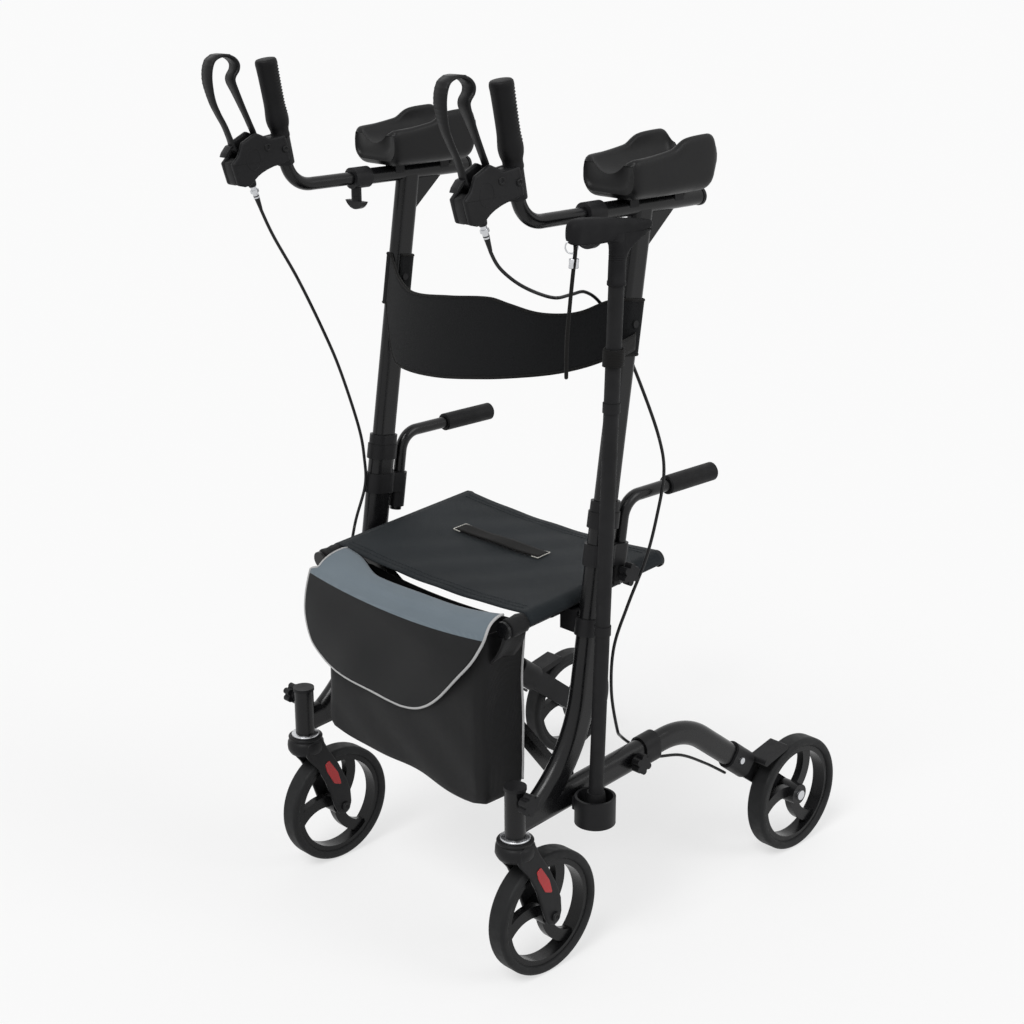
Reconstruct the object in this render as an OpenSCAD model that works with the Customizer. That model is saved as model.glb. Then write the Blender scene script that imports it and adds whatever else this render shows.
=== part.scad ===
// Upright walker: a folding four-wheeled frame with forearm rests, loop brakes, seat, bag and cane.
// Millimetres. The origin is on the floor, in the middle plane, midway between the two axles.
// +Z is up, the walker rolls towards -Y, and the left side of the person using it is +X.

/* [Overall] */
// Distance from the middle plane to each side frame
frame_x = 250; // [235:1:280]
// Distance between the front and rear axles
wheelbase = 582; // [560:1:620]
// Upward slope of the lower rails and seat rails towards the rear, degrees
frame_tilt = 5; // [3:0.5:7]
// Wall thickness of the frame tubes
tube_wall = 2; // [1.5:0.1:2.5]

/* [Wheels] */
// Diameter over the tyre
wheel_d = 200; // [190:1:203]
// Width of the tyre
tyre_w = 34; // [28:1:36]
// Depth of the tyre from tread to rim
tyre_h = 15; // [12:0.5:18]
// Radial depth of the rim
rim_h = 8; // [6:0.5:10]
// Width of the rim
rim_w = 24; // [20:0.5:27]
// Diameter of the wheel hub
hub_d = 36; // [30:1:42]
// Length of the wheel hub along its axle
hub_w = 36; // [30:1:38]
// Width of a spoke
spoke_w = 19; // [14:0.5:24]
// Radius that a spoke curves along
spoke_bend_r = 62; // [55:1:80]
// Thickness of a spoke along the axle
spoke_t = 13; // [8:0.5:18]
// Number of spokes
spoke_n = 3; // [3:1:5]
// Diameter of the axle bolts
axle_d = 10; // [8:0.5:12]
// Distance from the middle plane to the rear wheels
rear_wheel_x = 268; // [266:1:275]

/* [Casters] */
// Distance that the front axle trails behind its swivel
caster_trail = 57; // [45:1:65]
// Diameter of the head tube
head_d = 32; // [30:0.5:36]
// Height of the head tube's lower end above the floor
head_z = 246; // [243:1:250]
// Length of the head tube
head_h = 76; // [70:1:85]
// Diameter of the swivel stem
stem_d = 20; // [16:0.5:22]
// Gap between the tyre and each fork leg
fork_gap = 3; // [2:0.5:5]
// Thickness of a fork leg
fork_t = 7; // [5:0.5:9]
// Height of the fork crown
crown_h = 30; // [24:1:34]
// Diameter of the fork crown
crown_d = 60; // [56:1:66]
// Diameter of the fork leg's foot
fork_foot_d = 32; // [26:1:40]
// Thickness of the bright swivel washer
washer_t = 4; // [2:0.5:5]

/* [Side frame] */
// Width of the lower rail, across
rail_w = 28; // [26:0.5:32]
// Depth of the lower rail, up and down
rail_h = 44; // [40:0.5:48]
// Height of the rail's axis at the swivel
rail_z = 268; // [264:1:274]
// Place along Y where the rail ends and its collar sits
rail_end_y = -56; // [-65:1:-45]
// Width of the lower post, across
post_w = 28; // [26:0.5:32]
// Depth of the lower post, fore and aft
post_h = 46; // [42:0.5:48]
// Rearward lean of the posts, degrees
post_lean = 8.7; // [7:0.1:10]
// Forward lean of the post's foot where it meets the rail, degrees
foot_lean = 53; // [48:0.5:56]
// Distance behind the swivel at which the post's foot line crosses the rail
foot_back = 38; // [32:1:44]
// Bend radius of the post's foot
post_bend_r = 245; // [200:5:255]
// Height of the lower post's top
post_top_z = 706; // [696:1:716]

/* [Rear leg] */
// Width of the rear leg tube, across
leg_w = 23; // [20:0.5:23.5]
// Depth of the rear leg tube
leg_h = 39; // [34:0.5:39.5]
// Place along Y of the bend's corner
leg_corner_y = 26; // [15:1:35]
// Bend radius of the rear leg
leg_bend_r = 140; // [110:5:150]
// How far the leg slides into the rail
leg_insert = 95; // [70:1:120]
// Thickness of the wheel bracket plate
bracket_t = 9; // [7:0.5:10]
// Diameter of the bracket's axle boss
bracket_boss_d = 36; // [30:1:44]

/* [Arm rests] */
// Height of the arm tube's axis
arm_z = 1143; // [1136:1:1150]
// Place along Y where the post axis meets the arm tube
arm_post_y = -99; // [-105:1:-92]
// Place along Y of the arm tube's front end
arm_front_y = -196; // [-204:1:-190]
// Place along Y of the arm tube's rear end
arm_rear_y = 22; // [16:1:30]
// Diameter of the arm tube
arm_d = 25; // [24.6:0.2:27]
// Width of the upper post, across
upper_w = 23; // [20:0.5:23.5]
// Depth of the upper post
upper_h = 41; // [36:0.5:41.5]
// Length of the upper post held in the lower post at full height
upper_insert = 85; // [70:1:95]
// Length of the forearm pad
pad_len = 168; // [150:1:180]
// Width of the forearm pad
pad_w = 102; // [94:1:106]
// Height of the forearm pad at its ears
pad_h = 78; // [70:1:86]
// Thickness of the pad's walls
pad_wall = 17; // [12:0.5:20]
// Thickness of the pad's floor
pad_floor = 28; // [24:0.5:32]

/* [Handles] */
// Diameter of the handle tube
handle_d = 20; // [18:0.1:20.4]
// Place along Y of the handle's corner
handle_corner_y = -333; // [-340:1:-326]
// Bend radius of the handle tube
handle_bend_r = 45; // [36:1:50]
// Forward lean of the grip, degrees
grip_lean = 11; // [8:0.5:14]
// Diameter of the hand grip
grip_d = 33; // [30:0.5:36]
// Length of the hand grip
grip_len = 116; // [108:1:124]
// Distance from the handle's corner to the hand grip
grip_start = 76; // [72:1:80]
// Length of the handle tube inside the arm tube
handle_insert = 90; // [80:1:100]

/* [Brakes] */
// Length of the brake housing, fore and aft
housing_l = 112; // [106:1:116]
// Height of the brake housing
housing_h = 74; // [70:1:80]
// Width of the brake housing
housing_w = 32; // [29:0.5:36]
// Width of the lever band
lever_w = 15; // [13:0.5:17]
// Thickness of the lever band
lever_t = 5; // [4:0.25:6]
// Radius of the lever loop at its top
lever_top_r = 30; // [26:0.5:33]
// Radius of the lever loop at its base
lever_base_r = 21; // [19:0.5:23]
// Distance between the two ends' centres
lever_len = 90; // [80:1:96]
// Forward lean of the lever loop, degrees
lever_lean = 21; // [18:0.5:24]
// Diameter of the lever pivot
pivot_d = 6; // [5:0.25:7]
// Diameter of the brake cables
cable_d = 5; // [4.5:0.1:6]

/* [Assist handles] */
// Distance from the post axis back to the stem
assist_offset = 41; // [39:0.5:44]
// Diameter of the assist handle tube
assist_d = 19; // [17:0.1:20]
// Height of the assist handle's level part
assist_z = 716; // [710:1:722]
// Place along Y of the assist handle's rear end
assist_end_y = 74; // [66:1:84]
// Bend radius of the assist handle
assist_bend_r = 34; // [28:1:38]
// Length of the assist grip
assist_grip_len = 106; // [96:1:112]
// Diameter of the assist grip
assist_grip_d = 29; // [26:0.5:31]
// Height of the clamp sleeve's lower end
sleeve_z = 600; // [594:1:606]
// Length of the clamp sleeve
sleeve_len = 58; // [50:1:64]

/* [Fold and seat] */
// Distance from the middle plane to the lower brace pivots
pivot_x = 221; // [216:0.5:222]
// Distance from the middle plane to the seat rails
seat_x = 212; // [206:0.5:213]
// Height from the lower pivots to the seat rails
brace_rise = 276; // [268:1:284]
// Place along Y of the brace pivots
brace_y = -215; // [-220:1:-205]
// Height of the lower pivot above the rail's axis
pivot_lift = 8; // [4:0.5:12]
// Width of a brace bar in the plane of the fold
brace_h = 25; // [22:0.5:26]
// Thickness of a brace bar along the fold axis
brace_t = 13; // [10:0.5:16]
// Diameter of the seat rails
seat_rail_d = 22; // [20:0.5:23]
// Length of the seat rails
seat_rail_len = 325; // [315:1:338]
// Distance that a seat rail reaches ahead of the brace
seat_rail_front = 92; // [84:1:98]
// Depth of the seat cloth, fore and aft
seat_depth = 288; // [270:1:292]
// Thickness of the seat cloth
cloth_t = 2.4; // [1.6:0.2:3]
// Sag of the seat cloth in the middle
seat_sag = 9; // [5:0.5:14]

/* [Back strap and bag] */
// Height of the back strap
strap_h = 124; // [110:1:130]
// Thickness of the back strap
strap_t = 5; // [3:0.5:7]
// How far the back strap bows forward
strap_bow = 52; // [40:1:65]
// Height of the strap's middle at the posts
strap_z = 947; // [940:1:952]
// Width of the bag
bag_w = 372; // [350:1:384]
// Depth of the bag, fore and aft
bag_l = 92; // [80:1:96]
// Height of the bag
bag_h = 280; // [260:1:290]
// Wall thickness of the bag
bag_wall = 2.5; // [2:0.25:4]
// How far the flap hangs below the seat rails
flap_h = 172; // [150:1:185]

/* [Cane] */
// Distance from the middle plane to the cane's foot
cane_x = 297; // [294:1:302]
// Place along Y of the cane's foot
cane_y = -228; // [-234:1:-222]
// Height of the cane's foot above the floor
cane_z = 249; // [245:1:255]
// Outward lean of the cane, degrees
cane_lean_out = 1.4; // [1:0.1:1.8]
// Rearward lean of the cane, degrees
cane_lean_back = 0.6; // [0:0.1:1]
// Diameter of the cane's shaft
cane_d = 22; // [20:0.5:24]
// Height of the cane to the handle's top
cane_h = 897; // [880:1:910]
// Length of the cane handle
cane_handle_l = 158; // [148:1:166]
// Width of the cane handle
cane_handle_w = 25; // [22:0.5:28]
// Diameter of the cane cup
cup_d = 62; // [58:1:64]
// Height of the cane cup
cup_h = 43; // [38:1:48]

/* [Knobs] */
// Diameter of the frame knobs
knob_d = 34; // [30:1:38]
// Thickness of the frame knobs
knob_t = 13; // [10:0.5:16]
// Number of lobes on a frame knob
knob_lobes = 6; // [5:1:8]
// Span of the wing knob
wing_span = 52; // [46:1:56]
// Diameter of the clamp screws
screw_d = 8; // [6:0.5:9]

/* [Hidden] */

$fn = 64;
// Facets of the wide, flat curves
wide_fn = 128;
// Running clearance of a pin in its bore, measured on the radius
run_fit = 0.05;
// Clearance between two pieces that slide or lie close
slide_fit = 0.3;
// How far a cutting shape runs past what it cuts
over = 2;
// Colours
black = [0.06, 0.06, 0.065];
charcoal = [0.13, 0.13, 0.135];
rubber = [0.04, 0.04, 0.042];
steel = [0.72, 0.73, 0.75];
cloth = [0.07, 0.075, 0.08];
slate = [0.10, 0.14, 0.17];
red = [0.7, 0.08, 0.06];

// Working places
wheel_r = wheel_d / 2;
front_axle_y = -wheelbase / 2;
rear_axle_y = wheelbase / 2;
stem_y = front_axle_y - caster_trail;
foot_y = stem_y + foot_back;
stem_top_gap = 4;
stem_seat_share = 0.5;
cap_t = 5;
fork_x = tyre_w / 2 + fork_gap;
crown_z = head_z - washer_t - crown_h;

function lean_y(z) = arm_post_y + (z - arm_z) * tan(post_lean);
function rail_axis_z(y) = rail_z + (y - stem_y) * tan(frame_tilt);
function foot_start() = [foot_y, rail_axis_z(foot_y)];
// Crossing of the post axis with the foot line
function foot_corner() =
  let (f = foot_start())
  let (z = (f[0] - lean_y(0) - f[1] * tan(foot_lean)) / (tan(post_lean) - tan(foot_lean)))
  [lean_y(z), z];
// The foot's bend, no wider than the foot has room for
foot_bend_share = 0.95;
foot_bend_room = norm(foot_corner() - foot_start()) * foot_bend_share;
foot_bend_r = min(post_bend_r, foot_bend_room / tan((foot_lean - post_lean) / 2));

// Rear leg: the bend's corner lies on the rail's line, and the leg then points at the rear axle
leg_corner = [leg_corner_y, rail_axis_z(leg_corner_y)];
leg_axle = [rear_axle_y, wheel_r];
leg_run = norm(leg_axle - leg_corner);
leg_dir = (leg_axle - leg_corner) / leg_run;
leg_drop = atan2(leg_dir[1], leg_dir[0]);
leg_clear = 52;
leg_end = leg_axle - leg_dir * (wheel_r + leg_clear);

// Fold axis: parallel to the rails, through the lower pivots
fold_z = rail_axis_z(brace_y) + pivot_lift;
fold_share = pivot_x / (pivot_x + seat_x);
brace_gap = 4;
brace_off = (brace_t + brace_gap) / 2;

module side_plane() {
  rotate([90, 0, 90]) children();
}

module right_side() {
  mirror([1, 0, 0]) children();
}

// Places its child on the post axis at height z, with +Z along the post
module on_post(z) {
  translate([frame_x, lean_y(z), z]) rotate([-post_lean, 0, 0]) children();
}

// Places its child on the grip axis, at a distance from the handle's corner, with +Z along the grip
module on_grip(along) {
  translate([frame_x, handle_corner_y, arm_z]) rotate([grip_lean, 0, 0]) translate([0, 0, along]) children();
}

// Places its child in the fold's own frame: X across, Y along the rails, Z up from the lower pivots
module fold_frame() {
  translate([0, brace_y, fold_z]) rotate([frame_tilt, 0, 0]) children();
}

// Places its child in the cane's own frame, with +Z up the shaft
module cane_frame() {
  translate([cane_x, cane_y, cane_z]) rotate([-cane_lean_back, cane_lean_out, 0]) children();
}

module bar_x(d, len) {
  rotate([0, 90, 0]) cylinder(d = d, h = len);
}

module bar_y(d, len) {
  rotate([-90, 0, 0]) cylinder(d = d, h = len);
}

// Oval with straight flanks: h along X, w along Y
module oval(h, w) {
  if (h > w) {
    square([h - w, w], center = true);
    for (s = [-1, 1]) translate([s * (h - w) / 2, 0]) circle(d = w);
  } else {
    circle(d = w);
  }
}

// Points of an arc about c, from angle a to angle b
arc_steps = 16;
function spoke_at(a) = [cos(a), sin(a)];
function arc(c, r, a, b) = [for (k = [0 : arc_steps]) c + r * spoke_at(a + (b - a) * k / arc_steps)];

// Two round ends and their outer tangents
module link(p, r, q, s) {
  base = heading(p, q);
  spread = acos((r - s) / norm(q - p));
  polygon(concat(arc(q, s, base - spread, base + spread), arc(p, r, base + spread, base + 360 - spread)));
}

// A convex outline with round corners, from [x, y, radius] points in anticlockwise order
function edge_turn(p, q) = heading(p, q) - acos((p[2] - q[2]) / norm([q[0] - p[0], q[1] - p[1]]));
function swing(a, b) = (b - a) - 360 * floor((b - a) / 360);
module soft_outline(points) {
  n = len(points);
  polygon([for (i = [0 : n - 1])
    let (start = edge_turn(points[(i + n - 1) % n], points[i]))
    let (turn = swing(start, edge_turn(points[i], points[(i + 1) % n])))
    each arc([points[i][0], points[i][1]], points[i][2], start, start + turn)]);
}

// Tube runs and bends in a plane. Each bend is an arc tangent to its two runs.
function heading(p, q) = atan2(q[1] - p[1], q[0] - p[0]);
function turned(points, i) =
  let (a = heading(points[i], points[i + 1]) - heading(points[i - 1], points[i]))
  a > 180 ? a - 360 : (a < -180 ? a + 360 : a);
function setback(points, i, r) =
  (i == 0 || i == len(points) - 1) ? 0 : r * tan(abs(turned(points, i)) / 2);
function stretched(points, more) =
  let (n = len(points) - 1)
  [for (i = [0 : n])
    i == 0 ? points[0] - more * (points[1] - points[0]) / norm(points[1] - points[0]) :
    i == n ? points[n] + more * (points[n] - points[n - 1]) / norm(points[n] - points[n - 1]) :
    points[i]];

// One straight run, or a run, a bend and a run. The bend swells a little, as a formed tube does,
// and the runs lap into it.
bend_swell = 0.05;
bend_lap = 1;
module bent_bar(points, r, h, w) {
  a = heading(points[0], points[1]);
  if (len(points) == 2) {
    translate(points[0]) rotate([0, 0, a]) rotate([90, 0, 90])
      linear_extrude(norm(points[1] - points[0])) oval(h, w);
  } else {
    t = turned(points, 1);
    side = sign(t);
    back = setback(points, 1, r);
    run_in = norm(points[1] - points[0]) - back;
    run_out = norm(points[2] - points[1]) - back;
    hub = points[1] - back * [cos(a), sin(a)] + side * r * [-sin(a), cos(a)];
    translate(hub) rotate([0, 0, a]) rotate([side < 0 ? 180 : 0, 0, 0]) rotate([0, 0, -90]) union() {
      rotate_extrude(angle = abs(t)) translate([r, 0]) oval(h + 2 * bend_swell, w + 2 * bend_swell);
      translate([0, bend_lap, 0]) rotate([90, 0, 0])
        linear_extrude(run_in + bend_lap) translate([r, 0]) oval(h, w);
      rotate([0, 0, abs(t)]) translate([0, run_out, 0]) rotate([90, 0, 0])
        linear_extrude(run_out + bend_lap) translate([r, 0]) oval(h, w);
    }
  }
}

module bent_tube(points, r, h, w) {
  difference() {
    bent_bar(points, r, h, w);
    bent_bar(stretched(points, over), r, h - 2 * tube_wall, w - 2 * tube_wall);
  }
}

// Lobed knob on its screw. It stands on its base with the screw pointing down.
knob_lobe_share = 0.3;
knob_neck_share = 0.55;
knob_neck_h = 6;
module lobed_knob(d, screw_len) {
  lobe_r = d * knob_lobe_share / 2;
  translate([0, 0, knob_neck_h]) linear_extrude(knob_t) {
    circle(d = d - 2 * lobe_r);
    for (i = [0 : knob_lobes - 1]) rotate(i * 360 / knob_lobes) translate([d / 2 - lobe_r, 0]) circle(lobe_r);
  }
  cylinder(d = d * knob_neck_share, h = knob_neck_h);
  translate([0, 0, -screw_len]) cylinder(d = screw_d, h = screw_len);
}

// Wheels, about their own axle along X
tyre_round_share = 0.42;
module wheel_body() {
  tyre_in = wheel_r - tyre_h;
  rim_in = tyre_in - rim_h;
  edge = tyre_h * tyre_round_share;
  rotate([0, 90, 0]) {
    color(rubber) rotate_extrude() {
      translate([tyre_in + run_fit, -rim_w / 2]) square([tyre_h - edge, rim_w]);
      translate([tyre_in + edge, -tyre_w / 2]) square([tyre_h - 2 * edge, tyre_w]);
      translate([tyre_in + edge, edge - tyre_w / 2]) square([tyre_h - edge, tyre_w - 2 * edge]);
      for (s = [-1, 1]) for (u = [tyre_in + run_fit + edge, wheel_r - edge])
        translate([u, s * (tyre_w / 2 - edge)]) circle(edge);
    }
    color(charcoal) difference() {
      union() {
        rotate_extrude() translate([rim_in, -rim_w / 2]) square([rim_h, rim_w]);
        translate([0, 0, -hub_w / 2]) cylinder(d = hub_d, h = hub_w);
        for (i = [0 : spoke_n - 1]) rotate(i * 360 / spoke_n) wheel_spoke(rim_in + rim_h / 2);
      }
      translate([0, 0, -hub_w / 2 - over]) cylinder(d = axle_d + 2 * run_fit, h = hub_w + 2 * over);
    }
  }
}

// One curved spoke from the hub to the rim
module wheel_spoke(reach) {
  translate([0, 0, -spoke_t / 2]) linear_extrude(spoke_t) intersection() {
    circle(reach);
    translate([0, -reach]) square([reach, 2 * reach]);
    translate([0, spoke_bend_r]) difference() {
      circle(spoke_bend_r + spoke_w / 2);
      circle(spoke_bend_r - spoke_w / 2);
    }
    translate([0, spoke_bend_r]) rotate(-90) square(2 * reach);
  }
}

module front_wheel() {
  translate([frame_x, front_axle_y, wheel_r]) wheel_body();
}

module rear_wheel() {
  translate([rear_wheel_x, rear_axle_y, wheel_r]) wheel_body();
}

// Caster fork: crown, two legs, stem, bright washer, axle and reflector
fork_throat_share = 0.62;
bolt_head_share = 1.7;
bolt_head_t = 4;
reflector_t = 1.5;
reflector_w = 9;
module caster_fork() {
  stem_seat = crown_h * stem_seat_share;
  axle = [caster_trail, wheel_r];
  crown = [0, crown_z + crown_h / 2];
  knee = [caster_trail * fork_throat_share, (axle[1] + crown[1]) / 2];
  translate([frame_x, stem_y, 0]) {
    color(charcoal) difference() {
      union() {
        translate([0, 0, crown_z]) cylinder(d = crown_d, h = crown_h);
        for (s = [-1, 1]) translate([s * (fork_x + fork_t / 2) - fork_t / 2, 0, 0]) side_plane()
          linear_extrude(fork_t) {
            link(crown, crown_h / 2, knee, fork_foot_d / 2);
            link(knee, fork_foot_d / 2, axle, fork_foot_d / 2);
          }
      }
      translate([0, caster_trail, wheel_r]) rotate([0, 90, 0])
        cylinder(r = wheel_r + fork_gap, h = 2 * fork_x, center = true);
      translate([-fork_x - fork_t - over, caster_trail, wheel_r])
        bar_x(axle_d + 2 * run_fit, 2 * (fork_x + fork_t + over));
      translate([0, 0, head_z - washer_t - stem_seat]) cylinder(d = stem_d + 2 * run_fit, h = crown_h);
    }
    color(black) translate([0, 0, head_z - washer_t - stem_seat + run_fit])
      cylinder(d = stem_d, h = stem_seat + washer_t + head_h - stem_top_gap - run_fit);
    color(steel) translate([0, 0, crown_z + crown_h + run_fit]) difference() {
      cylinder(d = head_d, h = washer_t - slide_fit);
      translate([0, 0, -over]) cylinder(d = stem_d + 2 * run_fit, h = washer_t + 2 * over);
    }
    color(steel) translate([0, caster_trail, wheel_r]) {
      translate([-fork_x - fork_t - bolt_head_t, 0, 0]) bar_x(axle_d, 2 * (fork_x + fork_t + bolt_head_t));
      for (s = [-1, 1]) translate([s * (fork_x + fork_t + run_fit + bolt_head_t / 2) - bolt_head_t / 2, 0, 0])
        bar_x(axle_d * bolt_head_share, bolt_head_t);
    }
    color(red) translate([fork_x + fork_t + run_fit, 0, 0]) side_plane()
      linear_extrude(reflector_t)
        link((crown + knee) / 2, reflector_w / 2, (knee + axle) / 2, reflector_w / 2);
  }
}

// Side frame: rail, lower post, head tube and the lug of the brace that starts on this side
lug_t = 5;
pivot_bolt_d = 8;
head_knob_share = 0.8;
head_knob_z = head_z + head_h * head_knob_share;
leg_knob_y = rail_end_y - leg_insert / 2;
module side_frame(bar_side) {
  rail = [[stem_y, rail_axis_z(stem_y)], [rail_end_y, rail_axis_z(rail_end_y)]];
  post = [foot_start(), foot_corner(), [lean_y(post_top_z), post_top_z]];
  color(black) {
    translate([frame_x, 0, 0]) difference() {
      union() {
        difference() {
          side_plane() {
            bent_bar(rail, 0, rail_h, rail_w);
            bent_bar(post, foot_bend_r, post_h, post_w);
          }
          side_plane() {
            bent_bar([rail[0], stretched(rail, over)[1]], 0, rail_h - 2 * tube_wall, rail_w - 2 * tube_wall);
            bent_bar([post[0], post[1], stretched(post, over)[2]], foot_bend_r,
              post_h - 2 * tube_wall, post_w - 2 * tube_wall);
          }
        }
        translate([0, stem_y, head_z]) cylinder(d = head_d, h = head_h);
      }
      translate([0, stem_y, head_z - over]) cylinder(d = stem_d + 2 * run_fit, h = head_h + 2 * over);
      translate([0, stem_y, head_knob_z]) bar_x(screw_d + 2 * run_fit, head_d);
      translate([0, leg_knob_y, rail_axis_z(leg_knob_y)]) bar_x(screw_d + 2 * run_fit, rail_w);
    }
    brace_lug(bar_side);
  }
}

// Two ears on the rail's inner flank, one on each face of the brace bar
module brace_lug(bar_side) {
  flank = frame_x - rail_w / 2 + tube_wall / 2;
  reach = flank - pivot_x;
  ear_y = brace_t / 2 + slide_fit;
  fold_frame() translate([0, bar_side * brace_off, 0]) intersection() {
    translate([0, -frame_x, -frame_x]) cube([flank, 2 * frame_x, 2 * frame_x]);
    difference() {
      for (s = [-1, 1]) translate([pivot_x, s * (ear_y + lug_t / 2) + lug_t / 2, 0]) rotate([90, 0, 0])
        linear_extrude(lug_t) link([0, 0], brace_h / 2, [reach, 0], rail_h / 4);
      translate([pivot_x, -ear_y - lug_t - over, 0])
        bar_y(pivot_bolt_d + 2 * run_fit, 2 * (ear_y + lug_t + over));
    }
  }
}

// Rear leg: slides into the rail, bends down and points at the rear axle
module rear_leg() {
  start = [rail_end_y - leg_insert, rail_axis_z(rail_end_y - leg_insert)];
  color(black) translate([frame_x, 0, 0]) side_plane()
    bent_tube([start, leg_corner, leg_end], leg_bend_r, leg_h, leg_w);
}

// Socket on the leg's end and the plate beside the wheel
socket_wall = 4;
socket_grip = 36;
socket_end = 16;
plate_gap = 1.5;
plate_x = rear_wheel_x - hub_w / 2 - plate_gap - bracket_t;
shoe_pivot_share = 1.26;
shoe_lift = 7.5;
shoe_pivot_d = 6;
shoe_turn = 180 + leg_drop - shoe_lift;
shoe_pivot = leg_axle + wheel_r * shoe_pivot_share * spoke_at(shoe_turn);
module rear_bracket() {
  color(charcoal) difference() {
    union() {
      translate([frame_x, 0, 0]) side_plane() translate(leg_end - socket_grip * leg_dir) rotate(leg_drop)
        rotate([90, 0, 90]) linear_extrude(socket_grip + socket_end)
          oval(leg_h + 2 * socket_wall, leg_w + 2 * socket_wall);
      translate([plate_x, 0, 0]) side_plane() linear_extrude(bracket_t)
        link(leg_end + socket_end / 2 * leg_dir, leg_h / 2, leg_axle, bracket_boss_d / 2);
    }
    translate([frame_x, 0, 0]) side_plane() translate(leg_end - (socket_grip + over) * leg_dir)
      rotate(leg_drop) rotate([90, 0, 90]) linear_extrude(socket_grip + over)
        oval(leg_h + 2 * run_fit, leg_w + 2 * run_fit);
    translate([plate_x - over, rear_axle_y, wheel_r]) bar_x(axle_d + 2 * run_fit, bracket_t + 2 * over);
    translate([plate_x - over, shoe_pivot[0], shoe_pivot[1]])
      bar_x(shoe_pivot_d + 2 * run_fit, bracket_t + 2 * over);
  }
}

// Brake shoe: swings on the plate and presses on the tread
shoe_gap = 3;
shoe_tip_r = 5;
shoe_reach = 24;
shoe_tip = leg_axle + (wheel_r + shoe_gap + shoe_tip_r) * spoke_at(shoe_turn - shoe_reach);
shoe_inset = 1;
shoe_w = tyre_w - 2 * shoe_inset;
module brake_shoe() {
  shoe_x = plate_x + bracket_t + slide_fit;
  color(charcoal) {
    translate([shoe_x, 0, 0]) side_plane() linear_extrude(rear_wheel_x + shoe_w / 2 - shoe_x)
      link(shoe_pivot, shoe_pivot_d, shoe_tip, shoe_tip_r);
    translate([plate_x, shoe_pivot[0], shoe_pivot[1]]) bar_x(shoe_pivot_d, bracket_t + 2 * slide_fit);
  }
}

// Fittings on the side frame: post collar, rail collar, head cap, assist clamp and seat rest
collar_wall = 3.5;
collar_grip = 24;
collar_step = 16;
band_wall = 3.5;
band_h = 32;
sleeve_wall = 4;
rest_h = 26;
rest_drop = 16;
rest_l = 30;
rest_lip = 9;
rest_z = fold_z + brace_rise - rest_drop - rest_h / 2;
band_z = sleeve_z + sleeve_len - band_h / 2;
module frame_fittings() {
  color(charcoal) {
    on_post(post_top_z) difference() {
      union() {
        translate([0, 0, -collar_grip]) linear_extrude(collar_grip)
          rotate(90) oval(post_h + 2 * collar_wall, post_w + 2 * collar_wall);
        linear_extrude(collar_step) rotate(90) oval(post_h + collar_wall, post_w + collar_wall);
      }
      translate([0, 0, -collar_grip - over]) linear_extrude(collar_grip + over)
        rotate(90) oval(post_h + 2 * run_fit, post_w + 2 * run_fit);
      translate([0, 0, -over]) linear_extrude(collar_step + 2 * over)
        rotate(90) oval(upper_h + 2 * slide_fit, upper_w + 2 * slide_fit);
    }
    rail_collar();
    translate([frame_x, stem_y, head_z + head_h]) cylinder(d = head_d + cap_t / 2, h = cap_t);
    assist_clamp();
    seat_rest();
  }
}

module rail_collar() {
  translate([frame_x, rail_end_y, rail_axis_z(rail_end_y)]) rotate([frame_tilt, 0, 0]) rotate([-90, 0, 0])
    difference() {
      translate([0, 0, -collar_grip]) linear_extrude(collar_grip + collar_step / 2)
        rotate(90) oval(rail_h + 2 * collar_wall, rail_w + 2 * collar_wall);
      translate([0, 0, -collar_grip - over]) linear_extrude(collar_grip + over)
        rotate(90) oval(rail_h + 2 * run_fit, rail_w + 2 * run_fit);
      translate([0, 0, -over]) linear_extrude(collar_step + 2 * over)
        rotate(90) oval(leg_h + 2 * slide_fit, leg_w + 2 * slide_fit);
    }
}

// Band round the post with the sleeve of the assist handle behind it
module assist_clamp() {
  sleeve_d = assist_d + 2 * sleeve_wall;
  on_post(band_z) difference() {
    union() {
      translate([0, 0, -band_h / 2]) linear_extrude(band_h)
        rotate(90) oval(post_h + 2 * band_wall, post_w + 2 * band_wall);
      translate([0, 0, -band_h / 2]) linear_extrude(band_h)
        translate([-sleeve_d / 2, 0]) square([sleeve_d, assist_offset]);
      translate([0, assist_offset, band_h / 2 - sleeve_len]) cylinder(d = sleeve_d, h = sleeve_len);
    }
    translate([0, 0, -band_h]) linear_extrude(2 * band_h)
      rotate(90) oval(post_h + 2 * run_fit, post_w + 2 * run_fit);
    translate([0, assist_offset, -sleeve_len - over])
      cylinder(d = assist_d + 2 * run_fit, h = 2 * sleeve_len);
    translate([0, assist_offset, assist_knob_at]) bar_x(screw_d + 2 * run_fit, sleeve_d);
  }
}
assist_knob_share = 0.75;
assist_knob_at = band_h / 2 - sleeve_len * assist_knob_share;

// Band round the post with a cradle that carries the seat rail
module seat_rest() {
  on_post(rest_z) difference() {
    translate([0, 0, -rest_h / 2]) linear_extrude(rest_h)
      rotate(90) oval(post_h + 2 * band_wall, post_w + 2 * band_wall);
    translate([0, 0, -rest_h]) linear_extrude(2 * rest_h)
      rotate(90) oval(post_h + 2 * run_fit, post_w + 2 * run_fit);
  }
  difference() {
    translate([seat_x - seat_rail_d / 2, lean_y(rest_z) - rest_l / 2, rest_z - rest_h / 2])
      cube([frame_x - post_w / 2 - run_fit - seat_x + seat_rail_d / 2, rest_l, rest_h + rest_lip]);
    fold_frame() translate([seat_x, -frame_x, brace_rise]) bar_y(seat_rail_d + 2 * slide_fit, 2 * frame_x);
    fold_frame() translate([seat_x - seat_rail_d, -frame_x, brace_rise])
      cube([seat_rail_d + seat_rail_d / 2 + slide_fit, 2 * frame_x, seat_rail_d]);
  }
}

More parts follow.
